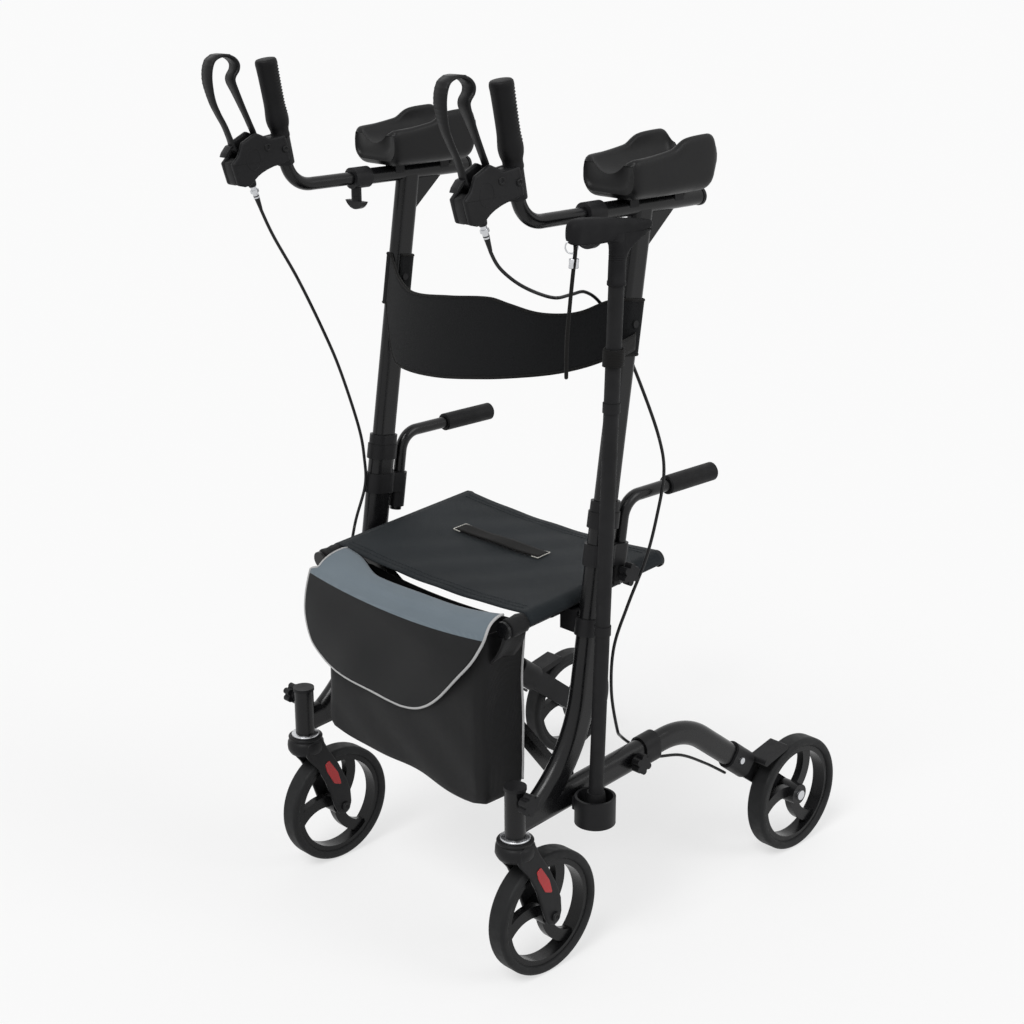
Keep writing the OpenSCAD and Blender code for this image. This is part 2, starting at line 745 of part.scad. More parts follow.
// Bolts and screws of the side frame
small_head_d = 11;
small_head_t = 3;
rivet_d = 9;
module frame_bolts(bar_side) {
  outer = rear_wheel_x + hub_w / 2;
  ear = brace_t / 2 + slide_fit + lug_t;
  color(steel) {
    translate([plate_x, rear_axle_y, wheel_r]) bar_x(axle_d, outer - plate_x);
    translate([outer + slide_fit, rear_axle_y, wheel_r]) bar_x(axle_d * bolt_head_share, bolt_head_t);
    translate([outer - over, rear_axle_y, wheel_r]) bar_x(axle_d, over + bolt_head_t);
    translate([plate_x - bolt_head_t, rear_axle_y, wheel_r]) bar_x(axle_d * bolt_head_share, bolt_head_t);
    fold_frame() translate([pivot_x, bar_side * brace_off - ear, 0]) {
      bar_y(pivot_bolt_d, 2 * ear);
      translate([0, -bolt_head_t, 0]) bar_y(pivot_bolt_d * bolt_head_share, bolt_head_t);
      translate([0, 2 * ear, 0]) bar_y(pivot_bolt_d * bolt_head_share, bolt_head_t);
    }
    translate([frame_x + leg_w / 2 + socket_wall, leg_end[0] - socket_grip / 2 * leg_dir[0],
      leg_end[1] - socket_grip / 2 * leg_dir[1]]) bar_x(small_head_d, small_head_t);
    for (s = [-1, 1]) on_post(band_z) translate([post_w / 2 + band_wall, 0, s * band_h / 4])
      bar_x(rivet_d, small_head_t);
    on_post(rest_z) translate([post_w / 2 + band_wall, 0, 0]) bar_x(small_head_d, small_head_t);
  }
}

// Arm frame: upper post, arm tube and gusset
gusset_t = 6;
gusset_l = 52;
gusset_h = 66;
module arm_frame() {
  low_z = post_top_z - upper_insert * cos(post_lean);
  color(black) translate([frame_x, 0, 0]) difference() {
    union() {
      side_plane() bent_tube([[lean_y(low_z), low_z], [lean_y(arm_z), arm_z]], 0, upper_h, upper_w);
      translate([0, arm_front_y, arm_z]) bar_y(arm_d, arm_rear_y - arm_front_y);
      translate([-gusset_t / 2, 0, 0]) side_plane() linear_extrude(gusset_t) polygon([
        [lean_y(arm_z - gusset_h), arm_z - gusset_h - arm_d / 2],
        [arm_post_y + upper_h / 2 + gusset_l, arm_z - arm_d / 4],
        [arm_post_y, arm_z - arm_d / 4]
      ]);
    }
    translate([0, arm_front_y - over, arm_z])
      bar_y(arm_d - 2 * tube_wall, arm_rear_y - arm_front_y + 2 * over);
  }
}

// Fittings on the arm: bush ring with the clamp boss, end plug, pad bracket and strap screws
ring_wall = 4;
ring_front = 20;
ring_back = 12;
boss_d = 16;
boss_h = 11;
plug_t = 5;
plug_in = 14;
mount_l = 112;
mount_w = 36;
mount_t = 4;
mount_gap = 2;
saddle_l = 18;
pad_shift = 20;
pad_y = arm_post_y + pad_shift;
strap_screw_z = 979;
module arm_fittings() {
  ring_d = arm_d + 2 * ring_wall;
  plate_z = arm_z + arm_d / 2 + mount_gap;
  color(charcoal) {
    difference() {
      union() {
        translate([frame_x, arm_front_y - ring_front, arm_z]) bar_y(ring_d, ring_front + ring_back);
        translate([frame_x, arm_front_y - ring_front / 2, arm_z - ring_d / 2 - boss_h])
          cylinder(d = boss_d, h = boss_h + ring_d / 2);
      }
      translate([frame_x, arm_front_y - ring_front - over, arm_z])
        bar_y(handle_d + 2 * run_fit, 2 * ring_front + ring_back);
      translate([frame_x, arm_front_y, arm_z]) bar_y(arm_d + 2 * run_fit, ring_back + over);
      translate([frame_x, arm_front_y - ring_front / 2, arm_z - ring_d]) mirror([0, 0, 1])
        translate([0, 0, -ring_d]) cylinder(d = screw_d + 2 * run_fit, h = 2 * ring_d);
    }
    translate([frame_x, arm_rear_y, arm_z]) {
      bar_y(arm_d + ring_wall / 2, plug_t);
      translate([0, -plug_in, 0]) bar_y(arm_d - 2 * tube_wall - 2 * run_fit, plug_in);
    }
    difference() {
      union() {
        translate([frame_x - mount_w / 2, pad_y - mount_l / 2, plate_z]) cube([mount_w, mount_l, mount_t]);
        for (s = [-1, 1])
          translate([frame_x - arm_d / 2, pad_y + s * (mount_l - saddle_l) / 2 - saddle_l / 2, arm_z])
            cube([arm_d, saddle_l, arm_d / 2 + mount_gap]);
      }
      translate([frame_x, pad_y - mount_l, arm_z]) bar_y(arm_d + 2 * run_fit, 2 * mount_l);
    }
  }
  color(steel) for (s = [-1, 1]) on_post(strap_screw_z)
    translate([s * (upper_w / 2 + strap_wrap + slide_fit), 0, 0])
      rotate([0, 90 * s, 0]) cylinder(d = small_head_d, h = small_head_t);
}
strap_wrap = 3;

// Forearm pad: a moulded trough with raised ears near the rear
pad_edge_shares = [
  [0, 0.06], [0.015, 0.5], [0.05, 0.62], [0.3, 0.64], [0.5, 0.68], [0.64, 0.78], [0.76, 0.92], [0.85, 0.99],
  [0.92, 1], [0.97, 0.97], [1, 0.8], [1, 0.4], [0.98, 0.14], [0.93, 0.02], [0.86, 0], [0.08, 0]
];
pad_round_share = 0.18;
module forearm_pad() {
  base_z = arm_z + arm_d / 2 + mount_gap + mount_t;
  trough_r = pad_w / 2 - pad_wall;
  corner = pad_w * pad_round_share;
  color(rubber) translate([frame_x, pad_y - pad_len / 2, base_z]) intersection() {
    translate([-pad_w / 2, 0, 0]) side_plane() linear_extrude(pad_w)
      polygon([for (s = pad_edge_shares) [s[0] * pad_len, s[1] * pad_h]]);
    translate([0, pad_len, 0]) rotate([90, 0, 0]) linear_extrude(pad_len) difference() {
      union() {
        translate([-pad_w / 2, corner]) square([pad_w, pad_h - corner]);
        translate([corner - pad_w / 2, 0]) square([pad_w - 2 * corner, pad_h]);
        for (s = [-1, 1]) translate([s * (pad_w / 2 - corner), corner]) circle(corner);
      }
      translate([0, pad_floor + trough_r]) circle(trough_r);
      translate([-trough_r, pad_floor + trough_r]) square([2 * trough_r, pad_h]);
    }
  }
}

// Handle tube, running out of the arm tube and up to the grip
grip_end_t = 8;
handle_top = grip_start + grip_len - grip_end_t;
handle_path = [
  [arm_front_y + handle_insert, arm_z],
  [handle_corner_y, arm_z],
  [handle_corner_y - handle_top * sin(grip_lean), arm_z + handle_top * cos(grip_lean)]
];
module handle_tube() {
  color(black) translate([frame_x, 0, 0]) side_plane()
    bent_tube(handle_path, handle_bend_r, handle_d, handle_d);
}

// Hand grip with a flange, a palm swell and a closed end
grip_flange_h = 5;
grip_flange_w = 2;
grip_neck_share = 0.9;
module hand_grip() {
  r = grip_d / 2;
  neck = r * grip_neck_share;
  color(rubber) on_grip(grip_start) difference() {
    rotate_extrude() polygon([
      [0, 0], [r + grip_flange_w, 0], [r + grip_flange_w, grip_flange_h], [neck, grip_flange_h * 2],
      [r, grip_len / 4], [r, grip_len / 3], [neck, grip_len / 2], [neck, grip_len - 3 * grip_flange_h],
      [r, grip_len - 2 * grip_flange_h], [r, grip_len - grip_flange_w],
      [r - grip_flange_w, grip_len], [0, grip_len]
    ]);
    translate([0, 0, -over]) cylinder(d = handle_d + 2 * run_fit, h = handle_top - grip_start + over);
  }
}

// Brake housing clamped under the grip, with a slot for the lever and its pivot pin
housing_shares = [[0.02, 0.38, 0.1], [0.06, 0.88, 0.1], [0.5, 0.92, 0.1], [0.88, 0.86, 0.1],
  [0.93, 0.55, 0.1], [0.74, 0.1, 0.1], [0.62, 0.1, 0.1]];
housing_clamp_d = 30;
housing_back = 5;
housing_lift = 8;
housing_y = handle_corner_y + housing_back;
housing_z = arm_z + housing_lift;
pivot_shares = [0.7, 0.72];
lever_pivot = [housing_y - housing_l * pivot_shares[0], housing_z + housing_h * pivot_shares[1]];
slot_run_share = 0.8;
slot_w = lever_w + 2 * slide_fit;
slot_r = 28;
module brake_housing() {
  color(charcoal) translate([frame_x, 0, 0]) {
    difference() {
      union() {
        translate([-housing_w / 2, housing_y, housing_z]) side_plane() linear_extrude(housing_w) soft_outline(
          [for (s = housing_shares) [-s[0] * housing_l, s[1] * housing_h, s[2] * housing_h]]);
        translate([0, handle_corner_y, arm_z]) rotate([grip_lean, 0, 0])
          translate([0, 0, handle_bend_r])
            cylinder(d = housing_clamp_d, h = grip_start - handle_bend_r - slide_fit);
      }
      side_plane() bent_bar(handle_path, handle_bend_r, handle_d + 2 * run_fit, handle_d + 2 * run_fit);
      translate([0, handle_corner_y, arm_z]) rotate([grip_lean, 0, 0])
        translate([0, 0, grip_start - slide_fit])
          cylinder(d = grip_d + 2 * (grip_flange_w + slide_fit), h = housing_h);
      translate([0, adjuster_y, housing_z]) rotate([180 + adjuster_tilt, 0, 0])
        translate([0, 0, -adjuster_in]) cylinder(d = adjuster_d + 2 * run_fit, h = adjuster_l);
      translate([-slot_w / 2, lever_pivot[0], lever_pivot[1]]) {
        bar_x(2 * slot_r, slot_w);
        translate([0, -housing_l / 2, 0]) cube([slot_w, housing_l * slot_run_share, housing_h]);
      }
    }
    translate([-housing_w / 2, lever_pivot[0], lever_pivot[1]]) bar_x(pivot_d, housing_w);
  }
}

// Barrel adjuster under the housing
adjuster_d = 9;
adjuster_l = 20;
adjuster_nut_d = 13;
adjuster_nut_t = 5;
adjuster_in = 7;
adjuster_tilt = 20;
adjuster_share = 0.67;
adjuster_y = housing_y - housing_l * adjuster_share;
nut_sides = 6;
// Places on the adjuster's axis, measured down from the housing
function adjuster_at(s) =
  [frame_x, adjuster_y + s * sin(adjuster_tilt), housing_z - s * cos(adjuster_tilt)];
module brake_adjuster() {
  color(steel) translate([frame_x, adjuster_y, housing_z]) rotate([180 + adjuster_tilt, 0, 0])
    difference() {
      union() {
        translate([0, 0, -adjuster_in]) cylinder(d = adjuster_d, h = adjuster_l + adjuster_in);
        translate([0, 0, adjuster_l / 3]) cylinder(d = adjuster_nut_d, h = adjuster_nut_t, $fn = nut_sides);
      }
      translate([0, 0, adjuster_l / 2]) cylinder(d = cable_d + 2 * slide_fit, h = adjuster_l);
    }
}

// Brake lever: a closed band that loops up ahead of the grip, with a thumb tab at its base
tab_l = 17;
tab_t = 5;
lever_back = 3;
lever_lift = 24;
lever_boss_share = 1.5;
lever_base = lever_pivot + [lever_back, lever_lift];
module brake_lever() {
  low = lever_base;
  high = low + lever_len * [-sin(lever_lean), cos(lever_lean)];
  color(charcoal) translate([frame_x - lever_w / 2, 0, 0]) side_plane() difference() {
    linear_extrude(lever_w) {
      link(low, lever_base_r, high, lever_top_r);
      link(lever_pivot, pivot_d * lever_boss_share, low, lever_base_r);
      link(low - [lever_base_r, 0], tab_t / 2, low - [lever_base_r + tab_l, tab_l / 2], tab_t / 2);
    }
    translate([0, 0, -over]) linear_extrude(lever_w + 2 * over) {
      link(low, lever_base_r - lever_t, high, lever_top_r - lever_t);
      translate(lever_pivot) circle(d = pivot_d + 2 * run_fit);
    }
  }
}

// Assist handle: a stem in the clamp sleeve, bent back to a level grip
assist_low = 12;
function assist_y(z) = lean_y(z) + assist_offset / cos(post_lean);
module assist_handle() {
  foot_z = sleeve_z - assist_low;
  color(black) translate([frame_x, 0, 0]) side_plane()
    bent_tube([[assist_y(foot_z), foot_z], [assist_y(assist_z), assist_z],
      [assist_end_y - 2 * tube_wall, assist_z]], assist_bend_r, assist_d, assist_d);
}

module assist_grip() {
  r = assist_grip_d / 2;
  color(rubber) translate([frame_x, assist_end_y, assist_z]) rotate([90, 0, 0]) difference() {
    rotate_extrude() polygon([
      [0, 0], [r - grip_flange_w, 0], [r, grip_flange_w], [r, assist_grip_len - grip_flange_w],
      [r - grip_flange_w, assist_grip_len], [0, assist_grip_len]
    ]);
    translate([0, 0, 2 * tube_wall]) cylinder(d = assist_d + 2 * run_fit, h = assist_grip_len);
  }
}

// Knobs
module caster_knob() {
  color(black) translate([frame_x + head_d / 2 + slide_fit, stem_y, head_knob_z]) rotate([0, 90, 0])
    lobed_knob(knob_d, (head_d - stem_d) / 2);
}

module leg_knob() {
  color(black) translate([frame_x + rail_w / 2 + slide_fit, leg_knob_y, rail_axis_z(leg_knob_y)])
    rotate([0, 90, 0]) lobed_knob(knob_d, (rail_w - leg_w) / 2);
}

module assist_knob() {
  color(black) on_post(band_z)
    translate([assist_d / 2 + sleeve_wall + slide_fit, assist_offset, assist_knob_at])
      rotate([0, 90, 0]) lobed_knob(knob_d, sleeve_wall);
}

wing_t = 9;
wing_h = 15;
module reach_knob() {
  ring_r = arm_d / 2 + ring_wall;
  color(black) translate([frame_x, arm_front_y - ring_front / 2, arm_z - ring_r - boss_h - slide_fit])
    mirror([0, 0, 1]) {
      cylinder(d = boss_d, h = wing_h / 2);
      translate([0, wing_t / 2, wing_h / 2]) rotate([90, 0, 0]) linear_extrude(wing_t) intersection() {
        translate([0, -wing_span / 4]) circle(d = wing_span);
        translate([-wing_span / 2, 0]) square([wing_span, wing_h]);
      }
      translate([0, 0, -boss_h - ring_r + handle_d / 2 + slide_fit])
        cylinder(d = screw_d, h = boss_h + ring_r - handle_d / 2);
    }
}

// Brace bars of the scissor fold
rail_sleeve_wall = 2;
rail_sleeve_l = 22;
centre_d = 20;
module brace_bar() {
  difference() {
    union() {
      translate([0, brace_t / 2, 0]) rotate([90, 0, 0]) linear_extrude(brace_t)
        link([pivot_x, 0], brace_h / 2, [-seat_x, brace_rise], (seat_rail_d + rail_sleeve_wall) / 2);
      translate([-seat_x, -rail_sleeve_l / 2, brace_rise])
        bar_y(seat_rail_d + 2 * rail_sleeve_wall, rail_sleeve_l);
    }
    translate([-seat_x, -rail_sleeve_l, brace_rise]) bar_y(seat_rail_d + 2 * run_fit, 2 * rail_sleeve_l);
    translate([pivot_x, -brace_t, 0]) bar_y(pivot_bolt_d + 2 * run_fit, 2 * brace_t);
    translate([0, -brace_t, brace_rise * fold_share]) bar_y(pivot_bolt_d + 2 * run_fit, 2 * brace_t);
  }
}

module brace_a() {
  fold_frame() {
    color(black) translate([0, -brace_off, 0]) brace_bar();
    color(steel) translate([0, -brace_off - brace_t / 2, brace_rise * fold_share]) {
      bar_y(pivot_bolt_d, 2 * brace_off + brace_t);
      translate([0, -bolt_head_t, 0]) bar_y(centre_d, bolt_head_t);
      translate([0, 2 * brace_off + brace_t, 0]) bar_y(centre_d, bolt_head_t);
      translate([0, brace_t, 0]) bar_y(centre_d, brace_gap - slide_fit);
    }
  }
}

module brace_b() {
  color(black) fold_frame() mirror([1, 0, 0]) translate([0, brace_off, 0]) brace_bar();
}

// Seat rail: a round tube with a cap at each end
rail_cap_d = 27;
rail_cap_t = 4;
module seat_rail() {
  fold_frame() translate([seat_x, -seat_rail_front, brace_rise]) {
    color(black) difference() {
      bar_y(seat_rail_d, seat_rail_len);
      translate([0, -over, 0]) bar_y(seat_rail_d - 2 * tube_wall, seat_rail_len + 2 * over);
    }
    color(charcoal) {
      translate([0, -rail_cap_t, 0]) bar_y(rail_cap_d, rail_cap_t);
      translate([0, seat_rail_len, 0]) bar_y(rail_cap_d, rail_cap_t);
    }
  }
}

// Seat cloth, drawn over both rails and sagging a little between them
seat_inset = 36;
module seat_sling() {
  hem = seat_rail_d / 2 + rail_sleeve_wall + slide_fit;
  bow_r = (seat_x * seat_x + seat_sag * seat_sag) / (2 * seat_sag);
  half = asin(seat_x / bow_r);
  bow = [0, hem + bow_r - seat_sag];
  left = [-seat_x, 0];
  right = [seat_x, 0];
  color(slate) fold_frame() translate([0, seat_depth + seat_inset - seat_rail_front, brace_rise])
    rotate([90, 0, 0]) linear_extrude(seat_depth) polygon(concat(
      arc(left, hem + cloth_t, 180, 90),
      arc(bow + [0, cloth_t], bow_r, cloth_step - half - 90, half - cloth_step - 90),
      arc(right, hem + cloth_t, 90, 0),
      arc(right, hem, 0, 90),
      arc(bow, bow_r, half - cloth_step - 90, cloth_step - half - 90),
      arc(left, hem, 90, 180)
    ));
}
// Turn left out where the sag meets the hem, degrees
cloth_step = 0.1;

// Bag hung on the front ends of the seat rails, with its flap over the front
bag_front = -352;
bag_hem = 34;
flap_t = 3;
flap_over = 10;
module carry_bag() {
  top_z = fold_z + brace_rise - seat_rail_d;
  hem_in = seat_rail_d / 2 + slide_fit;
  tab_in = min(bag_w / 2 - bag_wall, seat_x);
  tab_w = max(bag_w / 2, seat_x) - tab_in;
  color(cloth) {
    difference() {
      translate([-bag_w / 2, bag_front, top_z - bag_h]) cube([bag_w, bag_l, bag_h]);
      translate([bag_wall - bag_w / 2, bag_front + bag_wall, top_z - bag_h + bag_wall])
        cube([bag_w - 2 * bag_wall, bag_l - 2 * bag_wall, bag_h]);
    }
    for (s = [-1, 1]) difference() {
      union() {
        fold_frame() translate([s * seat_x, over - seat_rail_front, brace_rise])
          bar_y(2 * (hem_in + cloth_t), bag_hem);
        translate([s * (tab_in + tab_w / 2) - tab_w / 2, bag_front + bag_hem, top_z - bag_hem / 2])
          cube([tab_w, bag_hem / 2, bag_hem]);
      }
      fold_frame() translate([s * seat_x, -2 * seat_rail_front, brace_rise])
        bar_y(2 * hem_in, 2 * seat_rail_len);
    }
    translate([0, bag_front, top_z]) rotate([90, 0, 0]) linear_extrude(flap_t) intersection() {
      translate([-bag_w / 2 - flap_over, -flap_h]) square([bag_w + 2 * flap_over, flap_h]);
      translate([0, bag_w / 2 - flap_h + flap_over]) circle(bag_w / 2 + flap_over);
    }
  }
}

// Back strap, wrapped round both upper posts and bowed forward between them
strap_inset = 6;
module back_strap() {
  half = frame_x - strap_inset;
  front = upper_h / 2 + strap_wrap / 2;
  bow_r = (half * half + strap_bow * strap_bow) / (2 * strap_bow);
  color(cloth) translate([0, lean_y(strap_z), strap_z]) rotate([-post_lean, 0, 0])
    translate([0, 0, -strap_h / 2]) linear_extrude(strap_h) difference() {
      union() {
        translate([0, bow_r - front - strap_bow]) intersection() {
          difference() {
            circle(bow_r + strap_t / 2, $fn = wide_fn);
            circle(bow_r - strap_t / 2, $fn = wide_fn);
          }
          translate([-half, -bow_r - strap_t]) square([2 * half, 2 * strap_bow]);
        }
        for (s = [-1, 1]) translate([s * frame_x, 0])
          rotate(90) oval(upper_h + 2 * strap_wrap, upper_w + 2 * strap_wrap);
      }
      for (s = [-1, 1]) translate([s * frame_x, 0])
        rotate(90) oval(upper_h + 2 * slide_fit, upper_w + 2 * slide_fit);
    }
}

// Cane: shaft with its rubber tip, joint rings and handle, standing in a cup on the left rail
tip_h = 44;
tip_d = 38;
tip_top_d = 27;
joint_h = 14;
joint_wall = 1.5;
joint_shares = [0.33, 0.7];
handle_h = 27;
handle_front_share = 0.6;
handle_end_share = 0.42;
handle_heel_share = 0.9;
handle_nose_share = 1.4;
handle_fall_shares = [1.3, 1.2];
cup_wall = 4;
cup_floor = 5;
module cane_shaft() {
  shaft_h = cane_h - handle_h;
  cane_frame() {
    color(rubber) difference() {
      cylinder(d1 = tip_d, d2 = tip_top_d, h = tip_h);
      translate([0, 0, tip_h / 3]) cylinder(d = cane_d + 2 * run_fit, h = tip_h);
    }
    color(black) difference() {
      union() {
        translate([0, 0, tip_h / 3]) cylinder(d = cane_d, h = shaft_h - tip_h / 3);
        for (s = joint_shares) translate([0, 0, s * cane_h])
          cylinder(d = cane_d + 2 * joint_wall, h = joint_h);
      }
      cylinder(d = cane_d - 2 * tube_wall, h = cane_h);
    }
  }
}

module cane_handle() {
  ahead = cane_handle_l * handle_front_share;
  behind = cane_handle_l - ahead;
  low = cane_h - handle_h;
  end_r = handle_h * handle_end_share;
  color(charcoal) cane_frame() translate([-cane_handle_w / 2, 0, low]) side_plane()
    linear_extrude(cane_handle_w) soft_outline([
      [end_r - ahead, end_r, end_r],
      [behind - end_r, end_r, end_r * handle_heel_share],
      [behind - end_r, handle_h - end_r * handle_fall_shares[0], end_r * handle_heel_share],
      [0, handle_h - end_r, end_r],
      [end_r * handle_nose_share - ahead, handle_h - end_r * handle_fall_shares[1], end_r]
    ]);
}

module cane_cup() {
  tip_dip = tip_d / 2 * (tan(cane_lean_out) + tan(cane_lean_back));
  low = cane_z - tip_dip - slide_fit - cup_floor;
  flank = frame_x + rail_w / 2;
  color(charcoal) difference() {
    union() {
      translate([cane_x, cane_y, low]) cylinder(d = cup_d, h = cup_h);
      translate([flank, cane_y - cup_d / 4, low + cup_h / 3]) cube([cane_x - flank, cup_d / 2, cup_h / 2]);
    }
    translate([cane_x, cane_y, low + cup_floor]) cylinder(d = cup_d - 2 * cup_wall, h = cup_h);
  }
}

// Webbing loop round the left upper post and the cane
loop_share = 0.787;
loop_z = cane_z + cane_h * loop_share;
loop_h = 24;
loop_t = 2.5;
loop_slack = 2;
function cane_at(z) =
  [cane_x + (z - cane_z) * tan(cane_lean_out), cane_y + (z - cane_z) * tan(cane_lean_back)];
module loop_outline(more) {
  at_cane = cane_at(loop_z);
  post_r = upper_w / 2 + strap_wrap + slide_fit + more;
  flat = (upper_h - upper_w) / 2;
  soft_outline([
    [at_cane[0] - frame_x, (at_cane[1] - lean_y(loop_z)) / cos(post_lean), cane_d / 2 + loop_slack + more],
    [0, flat, post_r],
    [0, -flat, post_r]
  ]);
}

module cane_loop() {
  color(cloth) on_post(loop_z) translate([0, 0, -loop_h / 2]) linear_extrude(loop_h) difference() {
    loop_outline(loop_t);
    loop_outline(0);
    translate([-2 * upper_h, -2 * upper_h]) square([2 * upper_h, 4 * upper_h]);
  }
}

// Swept cords: a smooth curve through the route's points, with a round section
function curve(p, i, t) =
  let (a = p[max(i - 1, 0)])
  let (b = p[i])
  let (c = p[i + 1])
  let (d = p[min(i + 2, len(p) - 1)])
  (2 * b + (c - a) * t + (2 * a - 5 * b + 4 * c - d) * t * t + (3 * b - a - 3 * c + d) * t * t * t) / 2;
function smooth_route(p, n) = concat(
  [for (i = [0 : len(p) - 2]) for (k = [0 : n - 1]) curve(p, i, k / n)], [p[len(p) - 1]]);
function unit(v) = v / norm(v);
cord_sides = 8;
module cord(route, steps, d) {
  line = smooth_route(route, steps);
  last = len(line) - 1;
  rings = [for (i = [0 : last])
    let (along = unit(line[min(i + 1, last)] - line[max(i - 1, 0)]))
    let (u = unit(cross(along, [1, 0, 0])))
    let (v = cross(along, u))
    for (k = [0 : cord_sides - 1])
      let (turn = k * 360 / cord_sides)
      line[i] + d / 2 * (cos(turn) * u + sin(turn) * v)];
  walls = [for (i = [0 : last - 1]) for (k = [0 : cord_sides - 1])
    let (a = i * cord_sides + k)
    let (b = i * cord_sides + (k + 1) % cord_sides)
    each [[a, b, a + cord_sides], [b, b + cord_sides, a + cord_sides]]];
  ends = [for (k = [1 : cord_sides - 2])
    each [[0, k + 1, k], [last * cord_sides, last * cord_sides + k, last * cord_sides + k + 1]]];
  polyhedron(rings, concat(walls, ends));
}

// Routes of the brake cables, from the adjuster to the wheel bracket
cable_out_places = [13, 27, 42];
cable_out = [for (s = cable_out_places) adjuster_at(s)];
left_cable_route = [
  [248, -371, 1089], [243, -335, 1064], [235, -290, 1043], [222, -240, 1027], [210, -196, 1024],
  [206, -164, 1022], [209, -134, 1000], [222, -104, 945], [246, -88, 880], [264, -66, 800], [270, -60, 745],
  [270, -74, 680], [270, -96, 620], [264, -128, 552], [258, -150, 490], [256, -152, 420], [250, -132, 350],
  [230, -100, 318], [224, -60, 285], [226, -20, 256], [232, 40, 240], [234, 100, 206], [236, 150, 172]
];
right_cable_route = [
  [250, -368, 1070], [250, -326, 1000], [250, -282, 915], [250, -250, 844], [250, -216, 745],
  [250, -206, 690], [250, -206, 642], [250, -230, 580], [248, -246, 510], [238, -250, 440], [226, -220, 385],
  [222, -170, 340], [222, -110, 310], [224, -60, 285], [226, -20, 256], [232, 40, 240], [234, 100, 206],
  [236, 150, 172]
];
cable_steps = 3;
module brake_cable(route) {
  color(rubber) cord(concat(cable_out, route), cable_steps, cable_d);
}

// Wrist strap hanging from the cane handle's nose
wrist_route = [
  [316.4, -299.5, 1119.4], [316.4, -299.5, 1109], [315.5, -302.5, 1080], [312.5, -305.5, 1035],
  [308.5, -306, 998], [306.8, -305.2, 979], [306, -304.5, 967], [306, -304.5, 957], [308.75, -307.25, 947.5],
  [315.5, -314, 943.5], [322.25, -320.75, 947.5], [325, -323.5, 957], [325, -323.5, 967],
  [324.4, -322.6, 979], [323.2, -320.4, 998], [321.6, -315, 1035], [320.9, -308.5, 1080],
  [321.4, -304.5, 1109], [321.4, -304.5, 1119.4]
];
wrist_d = 4;
wrist_steps = 4;
module wrist_strap() {
  color(cloth) cord(wrist_route, wrist_steps, wrist_d);
}

side_frame(-1);  // left_side_frame
rear_leg();  // left_rear_leg
rear_bracket();  // left_rear_bracket
frame_fittings();  // left_frame_fittings
frame_bolts(-1);  // left_frame_bolts
brake_cable(left_cable_route);  // left_brake_cable
caster_fork();  // left_caster_fork
front_wheel();  // left_front_wheel
rear_wheel();  // left_rear_wheel
arm_frame();  // left_arm_frame
arm_fittings();  // left_arm_fittings
forearm_pad();  // left_forearm_pad
handle_tube();  // left_handle_tube
hand_grip();  // left_hand_grip
brake_housing();  // left_brake_housing
brake_adjuster();  // left_brake_adjuster
brake_lever();  // left_brake_lever
assist_handle();  // left_assist_handle
assist_grip();  // left_assist_grip
caster_knob();  // left_caster_knob
leg_knob();  // left_leg_knob
reach_knob();  // left_reach_knob
assist_knob();  // left_assist_knob
brake_shoe();  // left_brake_shoe
right_side() side_frame(1);  // right_side_frame
right_side() rear_leg();  // right_rear_leg
right_side() rear_bracket();  // right_rear_bracket
right_side() frame_fittings();  // right_frame_fittings
right_side() frame_bolts(1);  // right_frame_bolts
right_side() brake_cable(right_cable_route);  // right_brake_cable
right_side() caster_fork();  // right_caster_fork
right_side() front_wheel();  // right_front_wheel
right_side() rear_wheel();  // right_rear_wheel
right_side() arm_frame();  // right_arm_frame
right_side() arm_fittings();  // right_arm_fittings
right_side() forearm_pad();  // right_forearm_pad
right_side() handle_tube();  // right_handle_tube
right_side() hand_grip();  // right_hand_grip
right_side() brake_housing();  // right_brake_housing
right_side() brake_adjuster();  // right_brake_adjuster
right_side() brake_lever();  // right_brake_lever
right_side() assist_handle();  // right_assist_handle
right_side() assist_grip();  // right_assist_grip
right_side() caster_knob();  // right_caster_knob
right_side() leg_knob();  // right_leg_knob
right_side() reach_knob();  // right_reach_knob
right_side() assist_knob();  // right_assist_knob
right_side() brake_shoe();  // right_brake_shoe
brace_a();
brace_b();
seat_rail();  // left_seat_rail
right_side() seat_rail();  // right_seat_rail
seat_sling();
carry_bag();
back_strap();
cane_shaft();
cane_handle();
wrist_strap();
cane_cup();
cane_loop();
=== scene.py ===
import math
import bmesh
import bpy
import numpy as np
from mathutils import Matrix, Vector


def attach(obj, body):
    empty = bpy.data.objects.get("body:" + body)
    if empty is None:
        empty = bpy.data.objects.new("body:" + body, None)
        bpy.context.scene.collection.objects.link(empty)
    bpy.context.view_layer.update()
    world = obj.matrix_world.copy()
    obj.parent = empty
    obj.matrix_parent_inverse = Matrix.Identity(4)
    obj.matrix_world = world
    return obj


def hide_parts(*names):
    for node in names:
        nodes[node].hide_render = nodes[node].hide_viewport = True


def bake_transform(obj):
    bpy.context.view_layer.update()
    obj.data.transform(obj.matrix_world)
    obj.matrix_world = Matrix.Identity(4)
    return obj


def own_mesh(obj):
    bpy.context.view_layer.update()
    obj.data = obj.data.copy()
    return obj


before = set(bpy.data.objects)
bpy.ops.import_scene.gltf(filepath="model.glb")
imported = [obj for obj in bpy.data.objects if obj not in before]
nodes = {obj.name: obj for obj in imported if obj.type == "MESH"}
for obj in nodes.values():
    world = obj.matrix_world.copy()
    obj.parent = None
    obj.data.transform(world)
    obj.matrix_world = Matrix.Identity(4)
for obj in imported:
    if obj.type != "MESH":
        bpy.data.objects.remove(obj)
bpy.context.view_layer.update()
sides = {"left": 1, "right": -1}
sidePlane = 0.25  # from the middle plane to the plane of each side's tubes
print("frame loaded:", len(nodes), "nodes")

